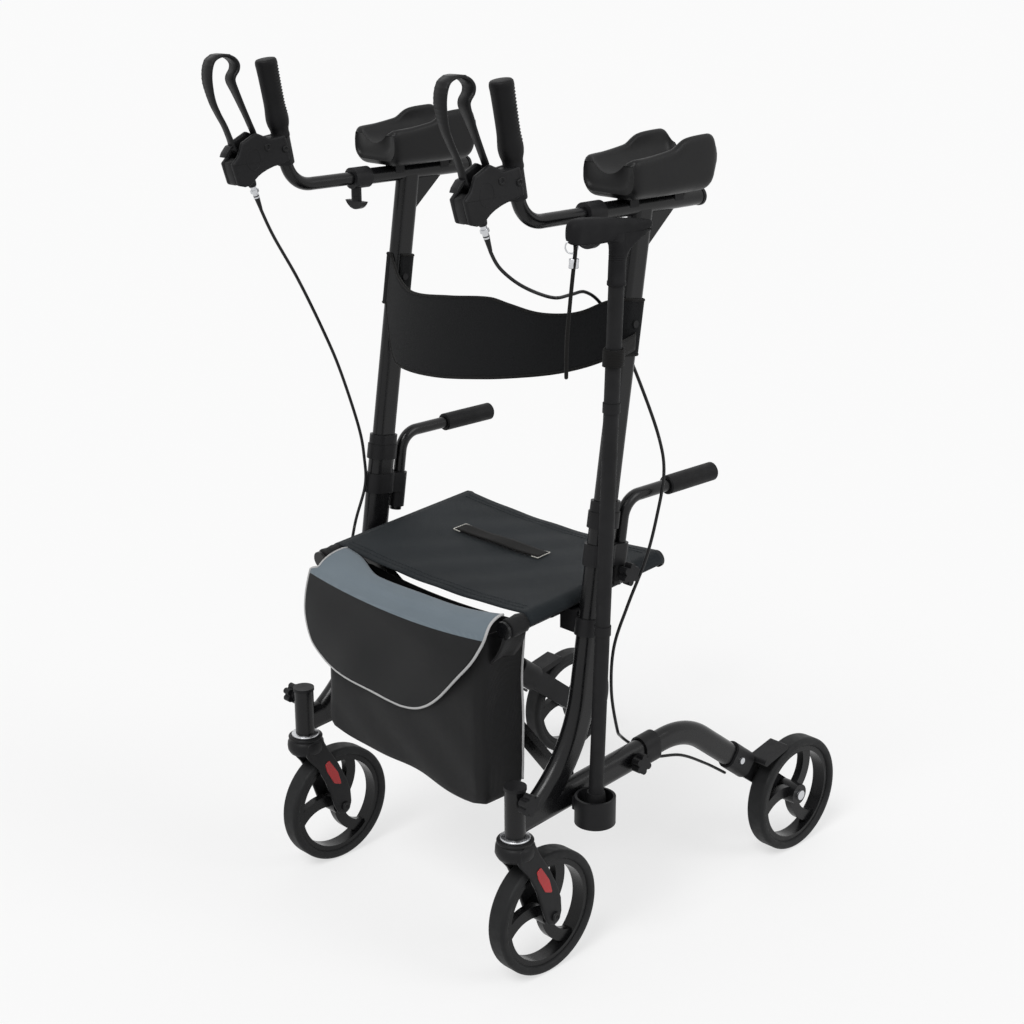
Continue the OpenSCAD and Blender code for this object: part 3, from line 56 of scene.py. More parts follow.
# camera, as the photograph was taken
cameraValues = {
    "place": (1.99053, -2.02344, 1.53979),
    "right": (0.692108, 0.721784, -0.003746),
    "up": (-0.222819, 0.218588, 0.950037),
    "back": (0.686541, -0.656694, 0.312114),
    "lens": 64.625,
    "shift": (0.00313, 0.00017),
}
cameraData = bpy.data.cameras.new("studioCamera")
cameraData.sensor_width = 36
cameraData.lens = cameraValues["lens"]
cameraData.shift_x, cameraData.shift_y = cameraValues["shift"]
cameraData.clip_end = 200
camera = bpy.data.objects.new("studioCamera", cameraData)
camera.matrix_world = Matrix([
    [cameraValues["right"][i], cameraValues["up"][i], cameraValues["back"][i], cameraValues["place"][i]]
    for i in range(3)] + [[0, 0, 0, 1]])
bpy.context.scene.collection.objects.link(camera)
bpy.context.scene.camera = camera


# small mesh helpers
def addObject(name, verts, faces, material=None, smooth=True):
    mesh = bpy.data.meshes.new(name)
    mesh.from_pydata([tuple(map(float, v)) for v in verts], [], [tuple(map(int, f)) for f in faces])
    mesh.validate()
    if smooth:
        mesh.polygons.foreach_set("use_smooth", [True] * len(mesh.polygons))
    obj = bpy.data.objects.new(name, mesh)
    bpy.context.scene.collection.objects.link(obj)
    if material is not None:
        mesh.materials.append(material)
    return obj


def gridFaces(rows, cols, closeRows=False, closeCols=False, start=0, flip=False):
    faces = []
    for i in range(rows if closeRows else rows - 1):
        for k in range(cols if closeCols else cols - 1):
            a = start + i * cols + k
            b = start + i * cols + (k + 1) % cols
            c = start + ((i + 1) % rows) * cols + (k + 1) % cols
            d = start + ((i + 1) % rows) * cols + k
            faces.append((d, c, b, a) if flip else (a, b, c, d))
    return faces


def endCaps(rows, cols, start=0):  # the two end faces of a closed grid
    last = start + (rows - 1) * cols
    return [tuple(range(start + cols - 1, start - 1, -1)), tuple(range(last, last + cols))]


def addGrid(name, rows, material, caps=False, **closing):  # a mesh through rows of points
    faces = gridFaces(len(rows), len(rows[0]), **closing)
    if caps:
        faces += endCaps(len(rows), len(rows[0]))
    return addObject(name, [p for row in rows for p in row], faces, material)


def inMetres(points):  # outlines and routes are written in millimetres
    return np.array(points, float) / 1000


def clamp(x):
    return min(max(x, 0), 1)


def smoothLine(points, steps):  # the same curve through the points as the cords of the part
    p = np.array(points, float)
    out = []
    for i in range(len(p) - 1):
        a, b, c, d = p[max(i - 1, 0)], p[i], p[i + 1], p[min(i + 2, len(p) - 1)]
        for k in range(steps):
            t = k / steps
            bend, twist = 2 * a - 5 * b + 4 * c - d, 3 * b - a - 3 * c + d
            out.append((2 * b + (c - a) * t + bend * t * t + twist * t ** 3) / 2)
    out.append(p[-1])
    return np.array(out)


def lineLength(line):
    return float(np.linalg.norm(np.diff(np.asarray(line), axis=0), axis=1).sum())


def ringFrames(line, closed=False):
    line = np.asarray(line, float)
    if closed:
        along = np.roll(line, -1, 0) - np.roll(line, 1, 0)
    else:
        along = np.gradient(line, axis=0)
    along /= np.linalg.norm(along, axis=1)[:, None]
    side = np.cross(along[0], (0, 0, 1) if abs(along[0][2]) < 0.9 else (1, 0, 0))
    frames = []
    for t in along:
        side = side - t * (side @ t)
        side /= np.linalg.norm(side)
        frames.append((side.copy(), np.cross(t, side)))
    return frames


def tubeMesh(name, line, radius, material, around=12, closed=False):
    line = np.asarray(line, float)
    turns = [2 * math.pi * k / around for k in range(around)]
    rows = [[p + radius * (math.cos(a) * u + math.sin(a) * v) for a in turns]
            for p, (u, v) in zip(line, ringFrames(line, closed))]
    return addGrid(name, rows, material, caps=not closed, closeRows=closed, closeCols=True)


def latheMesh(name, profile, base, axis, material, around=48, shape=None):  # profile of (radius, height)
    axis = Vector(axis).normalized()
    u = axis.cross(Vector((1, 0, 0)) if abs(axis.x) < 0.9 else Vector((0, 1, 0))).normalized()
    v = axis.cross(u)
    turns = [2 * math.pi * k / around for k in range(around)]
    rows = []
    for r, h in profile:
        radii = [r + (shape(a, h) if shape else 0) for a in turns]
        rows.append([Vector(base) + axis * h + (u * math.cos(a) + v * math.sin(a)) * radius
                     for a, radius in zip(turns, radii)])
    return addGrid(name, rows, material, caps=True, closeCols=True)


def settled(obj, *modifiers):  # adds modifiers and keeps their result as the mesh
    for kind, values in modifiers:
        m = obj.modifiers.new(kind.lower(), kind)
        for key, value in values.items():
            setattr(m, key, value)
    bpy.context.view_layer.update()
    done = bpy.data.meshes.new_from_object(obj.evaluated_get(bpy.context.evaluated_depsgraph_get()))
    obj.modifiers.clear()
    obj.data = done
    done.polygons.foreach_set("use_smooth", [True] * len(done.polygons))
    return obj


def joined(first, *others):  # one mesh of several pieces, each with its own finish
    with bpy.context.temp_override(active_object=first, selected_editable_objects=[first, *others]):
        bpy.ops.object.join()
    return first


def spread(table, x):
    xs, ys = zip(*table)
    return float(np.interp(x, xs, ys))


def eased(table, x):  # smooth curve through a table
    xs, ys = zip(*table)
    i = int(np.clip(np.searchsorted(xs, x) - 1, 0, len(xs) - 2))
    def slope(k):
        if k == 0 or k == len(xs) - 1:
            return 0.0
        return (ys[k + 1] - ys[k - 1]) / (xs[k + 1] - xs[k - 1])
    h = xs[i + 1] - xs[i]
    t = clamp((x - xs[i]) / h)
    return ((2 * t ** 3 - 3 * t * t + 1) * ys[i] + (t ** 3 - 2 * t * t + t) * h * slope(i)
            + (3 * t * t - 2 * t ** 3) * ys[i + 1] + (t ** 3 - t * t) * h * slope(i + 1))


def resampled(points, n):
    p = np.array(points, float)
    d = np.concatenate([[0], np.cumsum(np.linalg.norm(np.diff(p, axis=0), axis=1))])
    t = np.linspace(0, d[-1], n)
    return np.stack([np.interp(t, d, p[:, k]) for k in range(p.shape[1])], -1)


def torusMesh(name, centre, radius, thick, normal, material, around=40):
    n = Vector(normal).normalized()
    u = n.cross(Vector((0, 0, 1)) if abs(n.z) < 0.9 else Vector((1, 0, 0))).normalized()
    v = n.cross(u)
    line = [Vector(centre) + radius * (u * math.cos(a) + v * math.sin(a))
            for a in np.linspace(0, 2 * math.pi, around, endpoint=False)]
    return tubeMesh(name, [tuple(p) for p in line], thick, material, 10, closed=True)


def outward(obj):  # every face turned to look out of the closed mesh
    work = bmesh.new()
    work.from_mesh(obj.data)
    bmesh.ops.recalc_face_normals(work, faces=work.faces)
    work.to_mesh(obj.data)
    work.free()
    return obj


def rounded(corners, radius, count=150):  # closed outline with softened corners
    p = np.array(corners, float)
    out = []
    for i in range(len(p)):
        a, b, c = p[i - 1], p[i], p[(i + 1) % len(p)]
        u, w = a - b, c - b
        longU, longW = np.linalg.norm(u), np.linalg.norm(w)
        u, w = u / longU, w / longW
        bend = math.acos(float(np.clip(u @ w, -1, 1)))
        cut = min(radius / max(math.tan(bend / 2), 0.05), 0.46 * longU, 0.46 * longW)
        for t in np.linspace(0, 1, 7):
            out.append((1 - t) ** 2 * (b + u * cut) + 2 * t * (1 - t) * b + t * t * (b + w * cut))
    return resampled(out + [out[0]], count + 1)[:-1]


def inset(outline, by):  # closed outline drawn in by a distance
    p = np.asarray(outline, float)
    along = np.roll(p, -1, 0) - np.roll(p, 1, 0)
    along /= np.linalg.norm(along, axis=1)[:, None]
    area = np.sum(p[:, 0] * np.roll(p[:, 1], -1) - np.roll(p[:, 0], -1) * p[:, 1])
    return p + np.stack([-along[:, 1], along[:, 0]], -1) * math.copysign(by, area)


def plateMesh(name, outline, low, high, bevel, material):  # outline of (y, z), thickness along x
    steps = [(low, 2.0), (low, 1.0), (low + 0.3 * bevel, 0.3), (low + bevel, 0),
             (high - bevel, 0), (high - 0.3 * bevel, 0.3), (high, 1.0), (high, 2.0)]
    rows = [[(x, y, z) for y, z in inset(outline, by * bevel)] for x, by in steps]
    return outward(addGrid(name, rows, material, caps=True, closeCols=True))


def mirrored(low, high, s):  # a span beside the plane of a side, for either side
    return tuple(sorted((s * (sidePlane + low), s * (sidePlane + high))))


# finishes
class Finish:
    def __init__(self, name, rough=0.5, spec=0.5, metal=0.0, sheen=0.0):
        self.material = bpy.data.materials.new(name)
        self.material.use_nodes = True
        self.tree = self.material.node_tree
        self.shader = self.tree.nodes["Principled BSDF"]
        for key, value in (("Roughness", rough), ("Specular IOR Level", spec), ("Metallic", metal),
                           ("Sheen Weight", sheen)):
            self.shader.inputs[key].default_value = value
        self.place = self.tree.nodes.new("ShaderNodeTexCoord").outputs["Object"]

    def node(self, kind, **values):
        n = self.tree.nodes.new(kind)
        for key, value in values.items():
            setattr(n, key, value)
        return n

    def link(self, a, b):
        self.tree.links.new(a, b)

    def feed(self, socket, value):  # a number, a colour or the result of another node
        if isinstance(value, (int, float)):
            socket.default_value = value
        elif isinstance(value, tuple):
            socket.default_value = (*value, 1)
        else:
            self.link(value, socket)

    def noise(self, scale, detail=3.0, rough=0.5, stretch=None):
        n = self.node("ShaderNodeTexNoise")
        n.inputs["Scale"].default_value = scale
        n.inputs["Detail"].default_value = detail
        n.inputs["Roughness"].default_value = rough
        place = self.place
        if stretch:
            m = self.node("ShaderNodeMapping")
            m.inputs["Scale"].default_value = stretch
            self.link(place, m.inputs["Vector"])
            place = m.outputs["Vector"]
        self.link(place, n.inputs["Vector"])
        return n.outputs["Fac"]

    def wave(self, direction, scale):
        n = self.node("ShaderNodeTexWave", bands_direction=direction)
        n.inputs["Scale"].default_value = scale
        self.link(self.place, n.inputs["Vector"])
        return n.outputs["Fac"]

    def cells(self, scale):
        n = self.node("ShaderNodeTexVoronoi")
        n.inputs["Scale"].default_value = scale
        self.link(self.place, n.inputs["Vector"])
        return n.outputs["Distance"]

    def math(self, how, a, b=0.0):
        n = self.node("ShaderNodeMath", operation=how)
        self.feed(n.inputs[0], a)
        self.feed(n.inputs[1], b)
        return n.outputs[0]

    def between(self, fac, low, high, fromLow=0.0, fromHigh=1.0):
        n = self.node("ShaderNodeMapRange")
        for key, value in (("From Min", fromLow), ("From Max", fromHigh), ("To Min", low), ("To Max", high)):
            n.inputs[key].default_value = value
        self.link(fac, n.inputs["Value"])
        return n.outputs["Result"]

    def patches(self, scale, low=0.0, high=1.0, detail=4.0):  # soft patches between two values
        return self.between(self.noise(scale, detail), low, high, 0.3, 0.7)

    def mix(self, fac, a, b):
        n = self.node("ShaderNodeMix", data_type="RGBA")
        for socket, value in zip((n.inputs[0], n.inputs[6], n.inputs[7]), (fac, a, b)):
            self.feed(socket, value)
        return n.outputs[2]

    def mixValue(self, fac, a, b):
        n = self.node("ShaderNodeMix", data_type="FLOAT")
        for socket, value in zip((n.inputs[0], n.inputs[2], n.inputs[3]), (fac, a, b)):
            self.feed(socket, value)
        return n.outputs[0]

    def xyz(self):
        n = self.node("ShaderNodeSeparateXYZ")
        self.link(self.place, n.inputs[0])
        return n.outputs

    def colour(self, socket):
        self.link(socket, self.shader.inputs["Base Color"])

    def roughness(self, socket):
        self.link(socket, self.shader.inputs["Roughness"])

    def bump(self, height, distance, strength=1.0, under=None):
        n = self.node("ShaderNodeBump")
        n.inputs["Distance"].default_value = distance
        n.inputs["Strength"].default_value = strength
        self.link(height, n.inputs["Height"])
        if under is not None:
            self.link(under, n.inputs["Normal"])
        self.link(n.outputs["Normal"], self.shader.inputs["Normal"])
        return n.outputs["Normal"]


def tint(colour, by):
    return tuple(c * by for c in colour)


# grain is the scale of the surface noise, depth its height, pitch the distance between threads
finishValues = {
    "powderCoat": {"colour": (0.004, 0.004, 0.0045), "rough": (0.2, 0.32), "grain": 1800, "depth": 0.00006,
                   "spec": 0.28},
    "charcoalPlastic": {"colour": (0.0085, 0.0085, 0.0092), "rough": (0.4, 0.52), "grain": 1500,
                        "depth": 0.00014, "spec": 0.16, "wear": 0.15},
    "leverPlastic": {"colour": (0.006, 0.006, 0.0065), "rough": (0.34, 0.46), "grain": 1500, "depth": 0.0001,
                     "spec": 0.18, "wear": 0.1},
    "softTouch": {"colour": (0.0075, 0.0075, 0.0082), "rough": (0.56, 0.7), "grain": 1600, "depth": 0.00018,
                  "spec": 0.12, "wear": 0.1},
    "gripRubber": {"colour": (0.005, 0.005, 0.0055), "rough": (0.46, 0.6), "grain": 1300, "depth": 0.00016,
                   "spec": 0.15, "wear": 0.1},
    "cableSheath": {"colour": (0.0045, 0.0045, 0.005), "rough": (0.26, 0.38), "grain": 900, "depth": 0.00004,
                    "spec": 0.26},
    "stitchThread": {"colour": (0.58, 0.57, 0.53), "rough": (0.7, 0.85), "grain": 2500, "depth": 0.0002,
                     "spec": 0.2},
    "darkThread": {"colour": (0.016, 0.021, 0.025), "rough": (0.7, 0.85), "grain": 2500, "depth": 0.0002,
                   "spec": 0.2},
    "reflectorRed": {"colour": (0.33, 0.012, 0.014), "rough": (0.16, 0.26), "grain": 700, "depth": 0.0001,
                     "spec": 0.4},
    "padSkin": {"colour": (0.004, 0.004, 0.0043), "rough": (0.36, 0.46)},
    "brightSteel": {"colour": (0.62, 0.63, 0.65), "rough": (0.22, 0.38)},
    "tyre": {"colour": (0.01, 0.0103, 0.0108), "rough": (0.52, 0.66)},
    "rim": {"colour": (0.0055, 0.0055, 0.006), "rough": (0.22, 0.34)},
    "seatNylon": {"colour": (0.004, 0.0062, 0.008), "second": (0.008, 0.0118, 0.0148), "pitch": 0.0011,
                  "depth": 0.00022, "sheen": 0.05, "rough": 0.7, "spec": 0.18, "weft": "Y",
                  "wrinkle": 0.0016},
    "bagNylon": {"colour": (0.0028, 0.0028, 0.0031), "second": (0.0058, 0.006, 0.0066), "pitch": 0.0010,
                 "depth": 0.0002, "sheen": 0.04, "rough": 0.62, "spec": 0.2, "weft": "Z", "wrinkle": 0.0035},
    "flapNylon": {"colour": (0.004, 0.0042, 0.0047), "second": (0.0075, 0.0079, 0.0086), "pitch": 0.0010,
                  "depth": 0.0002, "sheen": 0.05, "rough": 0.66, "spec": 0.18, "weft": "Z", "wrinkle": 0.002},
    "flapBand": {"colour": (0.115, 0.148, 0.175), "second": (0.165, 0.2, 0.226), "pitch": 0.0010,
                 "depth": 0.00016, "sheen": 0.1, "rough": 0.7, "spec": 0.3, "weft": "Y", "wrinkle": 0.001},
    "greyPiping": {"colour": (0.34, 0.34, 0.34), "second": (0.5, 0.5, 0.5), "pitch": 0.0014,
                   "depth": 0.0002, "sheen": 0.1, "rough": 0.6, "spec": 0.3, "weft": "Z", "wrinkle": 0},
    "strapCloth": {"colour": (0.003, 0.0032, 0.0036), "second": (0.0065, 0.0068, 0.0074)},
    "webbing": {"colour": (0.004, 0.0039, 0.0038), "second": (0.009, 0.0084, 0.008), "pitch": 0.0022},
}


def bandScale(pitch):  # the wave texture counts 20 radians per unit
    return 2 * math.pi / pitch / 20


def mouldedFinish(name):  # plastic, rubber, paint or thread
    v = finishValues[name]
    f = Finish(name, spec=v["spec"])
    f.colour(f.mix(f.patches(14), tint(v["colour"], 0.82), tint(v["colour"], 1.2 + v.get("wear", 0.0))))
    f.roughness(f.patches(60, *v["rough"]))
    f.bump(f.noise(v["grain"], 2, 0.6), v["depth"], 0.6)
    return f.material


def zonedFinish(name, base, zone, other, grain):  # two finishes on one piece, the second inside the zone
    base, other = finishValues[base], finishValues[other]
    f = Finish(name, spec=0.2)
    patches, mask = f.patches(14), zone(f)
    baseColour = f.mix(patches, tint(base["colour"], 0.82), tint(base["colour"], 1.2))
    otherColour = f.mix(patches, tint(other["colour"], 0.85), tint(other["colour"], 1.12))
    f.colour(f.mix(mask, baseColour, otherColour))
    f.roughness(f.mixValue(mask, f.patches(60, *base["rough"]), f.patches(90, *other["rough"], detail=3)))
    f.bump(f.noise(grain, 2, 0.6), 0.0001, 0.6)
    return f.material


def wovenFinish(name):
    v = finishValues[name]
    f = Finish(name, rough=v["rough"], spec=v["spec"], sheen=v["sheen"])
    f.shader.inputs["Sheen Roughness"].default_value = 0.5
    warp = f.wave("X", bandScale(v["pitch"]))
    weft = f.wave(v["weft"], bandScale(v["pitch"]))
    threads = f.math("MAXIMUM", warp, weft)
    height = f.math("ADD", threads, f.math("MULTIPLY", warp, weft))
    height = f.math("ADD", height, f.math("MULTIPLY", f.noise(900, 3), 0.7))
    shade = f.math("ADD", f.math("MULTIPLY", f.noise(9, 5), 0.8), f.math("MULTIPLY", threads, 0.35))
    f.colour(f.mix(f.between(shade, 0, 1, 0.35, 0.95), v["colour"], v["second"]))
    under = f.bump(f.noise(16, 4, 0.55), v["wrinkle"], 0.5) if v["wrinkle"] else None
    f.bump(height, v["depth"], 0.7, under)
    return f.material


def meshFinish(name):  # spacer mesh of the back strap
    v = finishValues[name]
    f = Finish(name, rough=0.85, spec=0.12, sheen=0.04)
    holes = f.between(f.cells(420), 0, 1, 0.12, 0.5)
    shade = f.math("ADD", f.math("MULTIPLY", holes, 0.7), f.math("MULTIPLY", f.noise(12, 4), 0.4))
    f.colour(f.mix(shade, v["colour"], v["second"]))
    f.bump(f.math("ADD", holes, f.math("MULTIPLY", f.noise(1100, 2), 0.5)), 0.0005, 0.6)
    return f.material


def webbingFinish(name, along):  # ribbed tape
    v = finishValues["webbing"]
    f = Finish(name, rough=0.8, spec=0.14, sheen=0.04)
    rib = f.wave(along, bandScale(v["pitch"]))
    f.colour(f.mix(f.math("MULTIPLY", rib, f.between(f.noise(40, 3), 0.4, 1.1)), v["colour"], v["second"]))
    f.bump(f.math("ADD", rib, f.math("MULTIPLY", f.noise(1300, 2), 0.6)), 0.0004, 0.7)
    return f.material


def steelFinish(name):
    v = finishValues[name]
    f = Finish(name, metal=1.0, spec=0.5)
    brushed = f.noise(220, 3, 0.6, (1, 12, 12))
    f.colour(f.mix(brushed, tint(v["colour"], 0.8), tint(v["colour"], 1.1)))
    f.roughness(f.between(brushed, *v["rough"], 0.3, 0.7))
    f.bump(brushed, 0.00006, 0.4)
    return f.material


def padFinish(name):  # moulded foam skin with a fine leather grain
    v = finishValues[name]
    f = Finish(name, spec=0.2)
    f.colour(f.mix(f.patches(10), tint(v["colour"], 0.85), tint(v["colour"], 1.25)))
    f.roughness(f.patches(45, *v["rough"]))
    f.bump(f.math("ADD", f.cells(950), f.noise(420, 4, 0.6)), 0.00016, 0.5)
    return f.material


def below(height):  # mask of what lies under a height
    return lambda f: f.math("LESS_THAN", f.xyz()[2], height)


def outside(centre, radius):  # mask by distance from a line along x
    def zone(f):
        x, y, z = f.xyz()
        dy, dz = f.math("SUBTRACT", y, centre[0]), f.math("SUBTRACT", z, centre[1])
        r = f.math("SQRT", f.math("ADD", f.math("MULTIPLY", dy, dy), f.math("MULTIPLY", dz, dz)))
        return f.math("GREATER_THAN", r, radius)
    return zone


powderCoat = mouldedFinish("powderCoat")
charcoal = mouldedFinish("charcoalPlastic")
leverBlack = mouldedFinish("leverPlastic")
softTouch = mouldedFinish("softTouch")
gripRubber = mouldedFinish("gripRubber")
sheath = mouldedFinish("cableSheath")
thread = mouldedFinish("stitchThread")
darkThread = mouldedFinish("darkThread")
reflectorRed = mouldedFinish("reflectorRed")
brightSteel = steelFinish("brightSteel")
padSkin = padFinish("padSkin")
seatNylon = wovenFinish("seatNylon")
bagNylon = wovenFinish("bagNylon")
flapNylon = wovenFinish("flapNylon")
flapBand = wovenFinish("flapBand")
piping = wovenFinish("greyPiping")
strapCloth = meshFinish("strapCloth")
webbing = webbingFinish("webbing", "Y")
webbingUp = webbingFinish("webbingUpright", "Z")
print("finishes made")

# finishes of the rigid pieces
plainFinish = {
    powderCoat: ["side_frame", "rear_leg", "arm_frame", "handle_tube", "assist_handle", "seat_rail"],
    charcoal: ["rear_bracket", "frame_fittings", "arm_fittings", "brake_housing", "caster_knob", "leg_knob",
               "reach_knob", "assist_knob", "brake_shoe", "caster_fork"],
    leverBlack: ["brake_lever"],
    brightSteel: ["frame_bolts", "brake_adjuster"],
    gripRubber: ["assist_grip"],
}
wheelValues = {"front_wheel": (-0.291, 0.1), "rear_wheel": (0.291, 0.1), "tyreInner": 0.0851}
caneTipTop = 0.2925  # the rubber tip ends here


def dress(name, material):
    data = nodes[name].data
    data.materials.clear()
    data.materials.append(material)


for side in sides:
    for material, pieces in plainFinish.items():
        for piece in pieces:
            dress(f"{side}_{piece}", material)
    for wheel in ("front_wheel", "rear_wheel"):
        tyre = outside(wheelValues[wheel], wheelValues["tyreInner"])
        finishName = side + wheel.title().replace("_", "")
        dress(f"{side}_{wheel}", zonedFinish(finishName, "rim", tyre, "tyre", 1300))
dress("brace_a", powderCoat)
dress("brace_b", powderCoat)
dress("cane_shaft", zonedFinish("caneShaft", "softTouch", below(caneTipTop), "gripRubber", 1700))
dress("cane_cup", charcoal)
print("rigid pieces dressed")

# brake cables, along the routes of the part
cableValues = {
    "diameter": 0.005, "steps": 9, "blendFrom": 4,
    "out": [(-0.39859, 1.13878), (-0.39381, 1.12563), (-0.38868, 1.11153)],
    "left": [(248, -371, 1089), (243, -335, 1064), (235, -290, 1043), (222, -240, 1027), (210, -196, 1024),
             (206, -164, 1022), (209, -134, 1000), (222, -104, 945), (246, -88, 880), (264, -66, 800),
             (270, -60, 745), (270, -74, 680), (270, -96, 620), (264, -128, 552), (258, -150, 490),
             (256, -152, 420), (250, -132, 350), (230, -100, 318), (224, -60, 285), (226, -20, 256),
             (232, 40, 240), (234, 100, 206), (236, 150, 172)],
    "right": [(250, -368, 1070), (250, -326, 1000), (250, -282, 915), (250, -250, 844), (250, -216, 745),
              (250, -206, 690), (250, -206, 642), (250, -230, 580), (248, -246, 510), (238, -250, 440),
              (226, -220, 385), (222, -170, 340), (222, -110, 310), (224, -60, 285), (226, -20, 256),
              (232, 40, 240), (234, 100, 206), (236, 150, 172)],
    "split": {"left": 6, "right": 4},
    "low": {"left": 12, "right": 10},
    "boot": [(0.0044, 0), (0.0046, 0.004), (0.0038, 0.012), (0.003, 0.022), (0.0026, 0.026)],
}
for side, s in sides.items():
    v = cableValues
    route = [(s * sidePlane, y, z) for y, z in v["out"]] + [(s * x, y, z) for x, y, z in inMetres(v[side])]
    line = smoothLine(route, v["steps"])
    armEnd, frameStart = v["split"][side] * v["steps"], v["low"][side] * v["steps"]
    for part, points in (("Upper", line[:armEnd + 1]), ("Middle", line[armEnd:frameStart + 1]),
                         ("Lower", line[frameStart:])):
        cable = tubeMesh(f"{side}Cable{part}", points, v["diameter"] / 2, sheath)
        if part == "Upper":
            blendStart = tuple(points[v["blendFrom"]])
            tuple(points[-1])
            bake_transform(cable)
            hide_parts(f"{side}_brake_cable")
        elif part == "Middle":
            tuple(points[0])
            tuple(points[-1])
            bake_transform(cable)
        else:
            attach(cable, f"{side}_frame")
        tuple(points[0])
        lineLength(points)
        [tuple(p) for p in points]
    ahead = np.array(route[2]) - np.array(route[0])
    boot = latheMesh(f"{side}CableBoot", v["boot"], route[0], ahead, sheath, 20)
    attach(boot, f"{side}_handle")
    print(side, "cable", round(lineLength(line), 3), "m")

# wrist strap of the cane
wristValues = {
    "diameter": 0.004, "drawnRadius": 0.00272, "ringAt": (0.3187, -0.3085, 1.1185), "ringRadius": 0.0088,
    "ringThick": 0.001, "ringFacing": (0.85, -0.5, 0),
    "crimpAt": (0.3183, -0.3045, 1.0895), "crimpAlong": (0, 0.08, 1), "crimpFlat": 0.0016,
    "crimp": [(0.0056, 0), (0.0062, 0.0012), (0.0058, 0.006), (0.0062, 0.0118), (0.0056, 0.013)],
    "route": [(316.4, -299.5, 1119.4), (316.4, -299.5, 1109), (315.5, -302.5, 1080), (312.5, -305.5, 1035),
              (308.5, -306, 998), (306.8, -305.2, 979), (306, -304.5, 967), (306, -304.5, 957),
              (308.75, -307.25, 947.5), (315.5, -314, 943.5), (322.25, -320.75, 947.5), (325, -323.5, 957),
              (325, -323.5, 967), (324.4, -322.6, 979), (323.2, -320.4, 998), (321.6, -315, 1035),
              (320.9, -308.5, 1080), (321.4, -304.5, 1109), (321.4, -304.5, 1119.4)],
}
v = wristValues
wristLine = smoothLine(inMetres(v["route"]), 8)
wristCord = tubeMesh("wristCord", wristLine, v["drawnRadius"], webbingUp)
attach(wristCord, "cane")
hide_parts("wrist_strap")
lineLength(wristLine)
wristRing = torusMesh("wristRing", v["ringAt"], v["ringRadius"], v["ringThick"], v["ringFacing"], brightSteel)
wristCrimp = latheMesh("wristCrimp", v["crimp"], v["crimpAt"], v["crimpAlong"], brightSteel, 28,
                       lambda a, h: wristValues["crimpFlat"] * math.cos(2 * a))
for piece in (wristRing, wristCrimp):
    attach(piece, "cane")
print("cords laid")

# forearm pads: moulded troughs with raised rear ears
padValues = {
    "length": 0.172, "width": 0.102, "height": 0.0815, "wall": 0.0112, "floor": 0.03, "front": -0.167,
    "base": 1.158, "corner": 0.019, "lip": 0.003, "lipIn": 0.002, "lipDrop": 0.012, "crown": 0.0035,
    "stations": [0, 0.012, 0.035, 0.07, 0.12, 0.2, 0.3, 0.4, 0.46, 0.5, 0.54, 0.58, 0.62, 0.68, 0.76, 0.82,
                 0.86, 0.9, 0.935, 0.965, 0.988, 1.0],
    "sectionPoints": 33,
    "rim": [(0, 0.63), (0.012, 0.685), (0.045, 0.712), (0.2, 0.73), (0.4, 0.785), (0.49, 0.82), (0.55, 0.9),
            (0.62, 0.965), (0.7, 0.985), (0.86, 1.0), (0.92, 0.995), (0.965, 0.94), (1.0, 0.78)],
    "keel": [(0, 0.11), (0.02, 0.05), (0.06, 0.01), (0.1, 0), (0.86, 0), (0.93, 0.02), (0.98, 0.12),
             (1.0, 0.3)],
    "plan": [(0, 0.94), (0.02, 0.975), (0.06, 0.995), (0.12, 1.0), (0.9, 1.0), (0.97, 0.985), (1.0, 0.95)],
}


def padSection(share, n):
    v = padValues
    half, wall = v["width"] / 2, v["wall"]
    top = eased(v["rim"], share) * v["height"]
    low = eased(v["keel"], share) * v["height"]
    corner = min(v["corner"], (top - low) * 0.75)
    outer = [(-half + v["lipIn"], top - v["lip"]), (-half, top - v["lipDrop"])]
    outer += [(-half + corner - corner * math.cos(a), low + corner - corner * math.sin(a))
              for a in np.linspace(0, math.pi / 2, 12)]
    outer += [(-x, z) for x, z in reversed(outer)]
    r = half - wall
    centre = v["floor"] + low * 0.6 + r
    inner = []
    if top > centre:
        inner += [(-r, z) for z in np.linspace(top - v["lip"], centre, 8)[:-1]]
        start = 0
    else:
        start = math.asin(min((centre - top + v["lip"]) / r, 0.95))
    inner += [(-r * math.cos(a), centre - r * math.sin(a)) for a in np.linspace(start, math.pi - start, 24)]
    if top > centre:
        inner += [(r, z) for z in np.linspace(centre, top - v["lip"], 8)[1:]]
    wide = eased(v["plan"], share)
    return resampled(outer, n) * (wide, 1), resampled(inner, n) * (wide, 1)


for side, s in sides.items():
    count = padValues["sectionPoints"]
    rows = []
    for share in padValues["stations"]:
        outer, inner = padSection(share, count)
        y = padValues["front"] + share * padValues["length"]
        rimLeft, rimRight = [(outer[k] + inner[k]) / 2 + (0, padValues["crown"]) for k in (0, -1)]
        loop = list(outer) + [rimRight] + list(inner[::-1]) + [rimLeft]
        rows.append([(s * sidePlane + x, y, padValues["base"] + z) for x, z in loop])
    ring = len(rows[0])
    verts = [p for row in rows for p in row]
    faces = gridFaces(len(rows), ring, closeCols=True)
    for start, flip in ((0, True), ((len(rows) - 1) * ring, False)):
        for k in range(count - 1):
            a, b = start + k, start + k + 1
            c, d = start + 2 * count - k - 1, start + 2 * count - k
            faces.append((a, b, c, d) if flip else (d, c, b, a))
        left = (start, start + 2 * count, start + 2 * count + 1)
        right = (start + count - 1, start + count, start + count + 1)
        faces += [left[::-1], right[::-1]] if flip else [left, right]
    pad = addObject(f"{side}Pad", verts, faces, padSkin)
    settled(pad, ("SUBSURF", {"levels": 1, "render_levels": 1}))
    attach(pad, f"{side}_arm")
    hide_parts(f"{side}_forearm_pad")
print("forearm pads made")

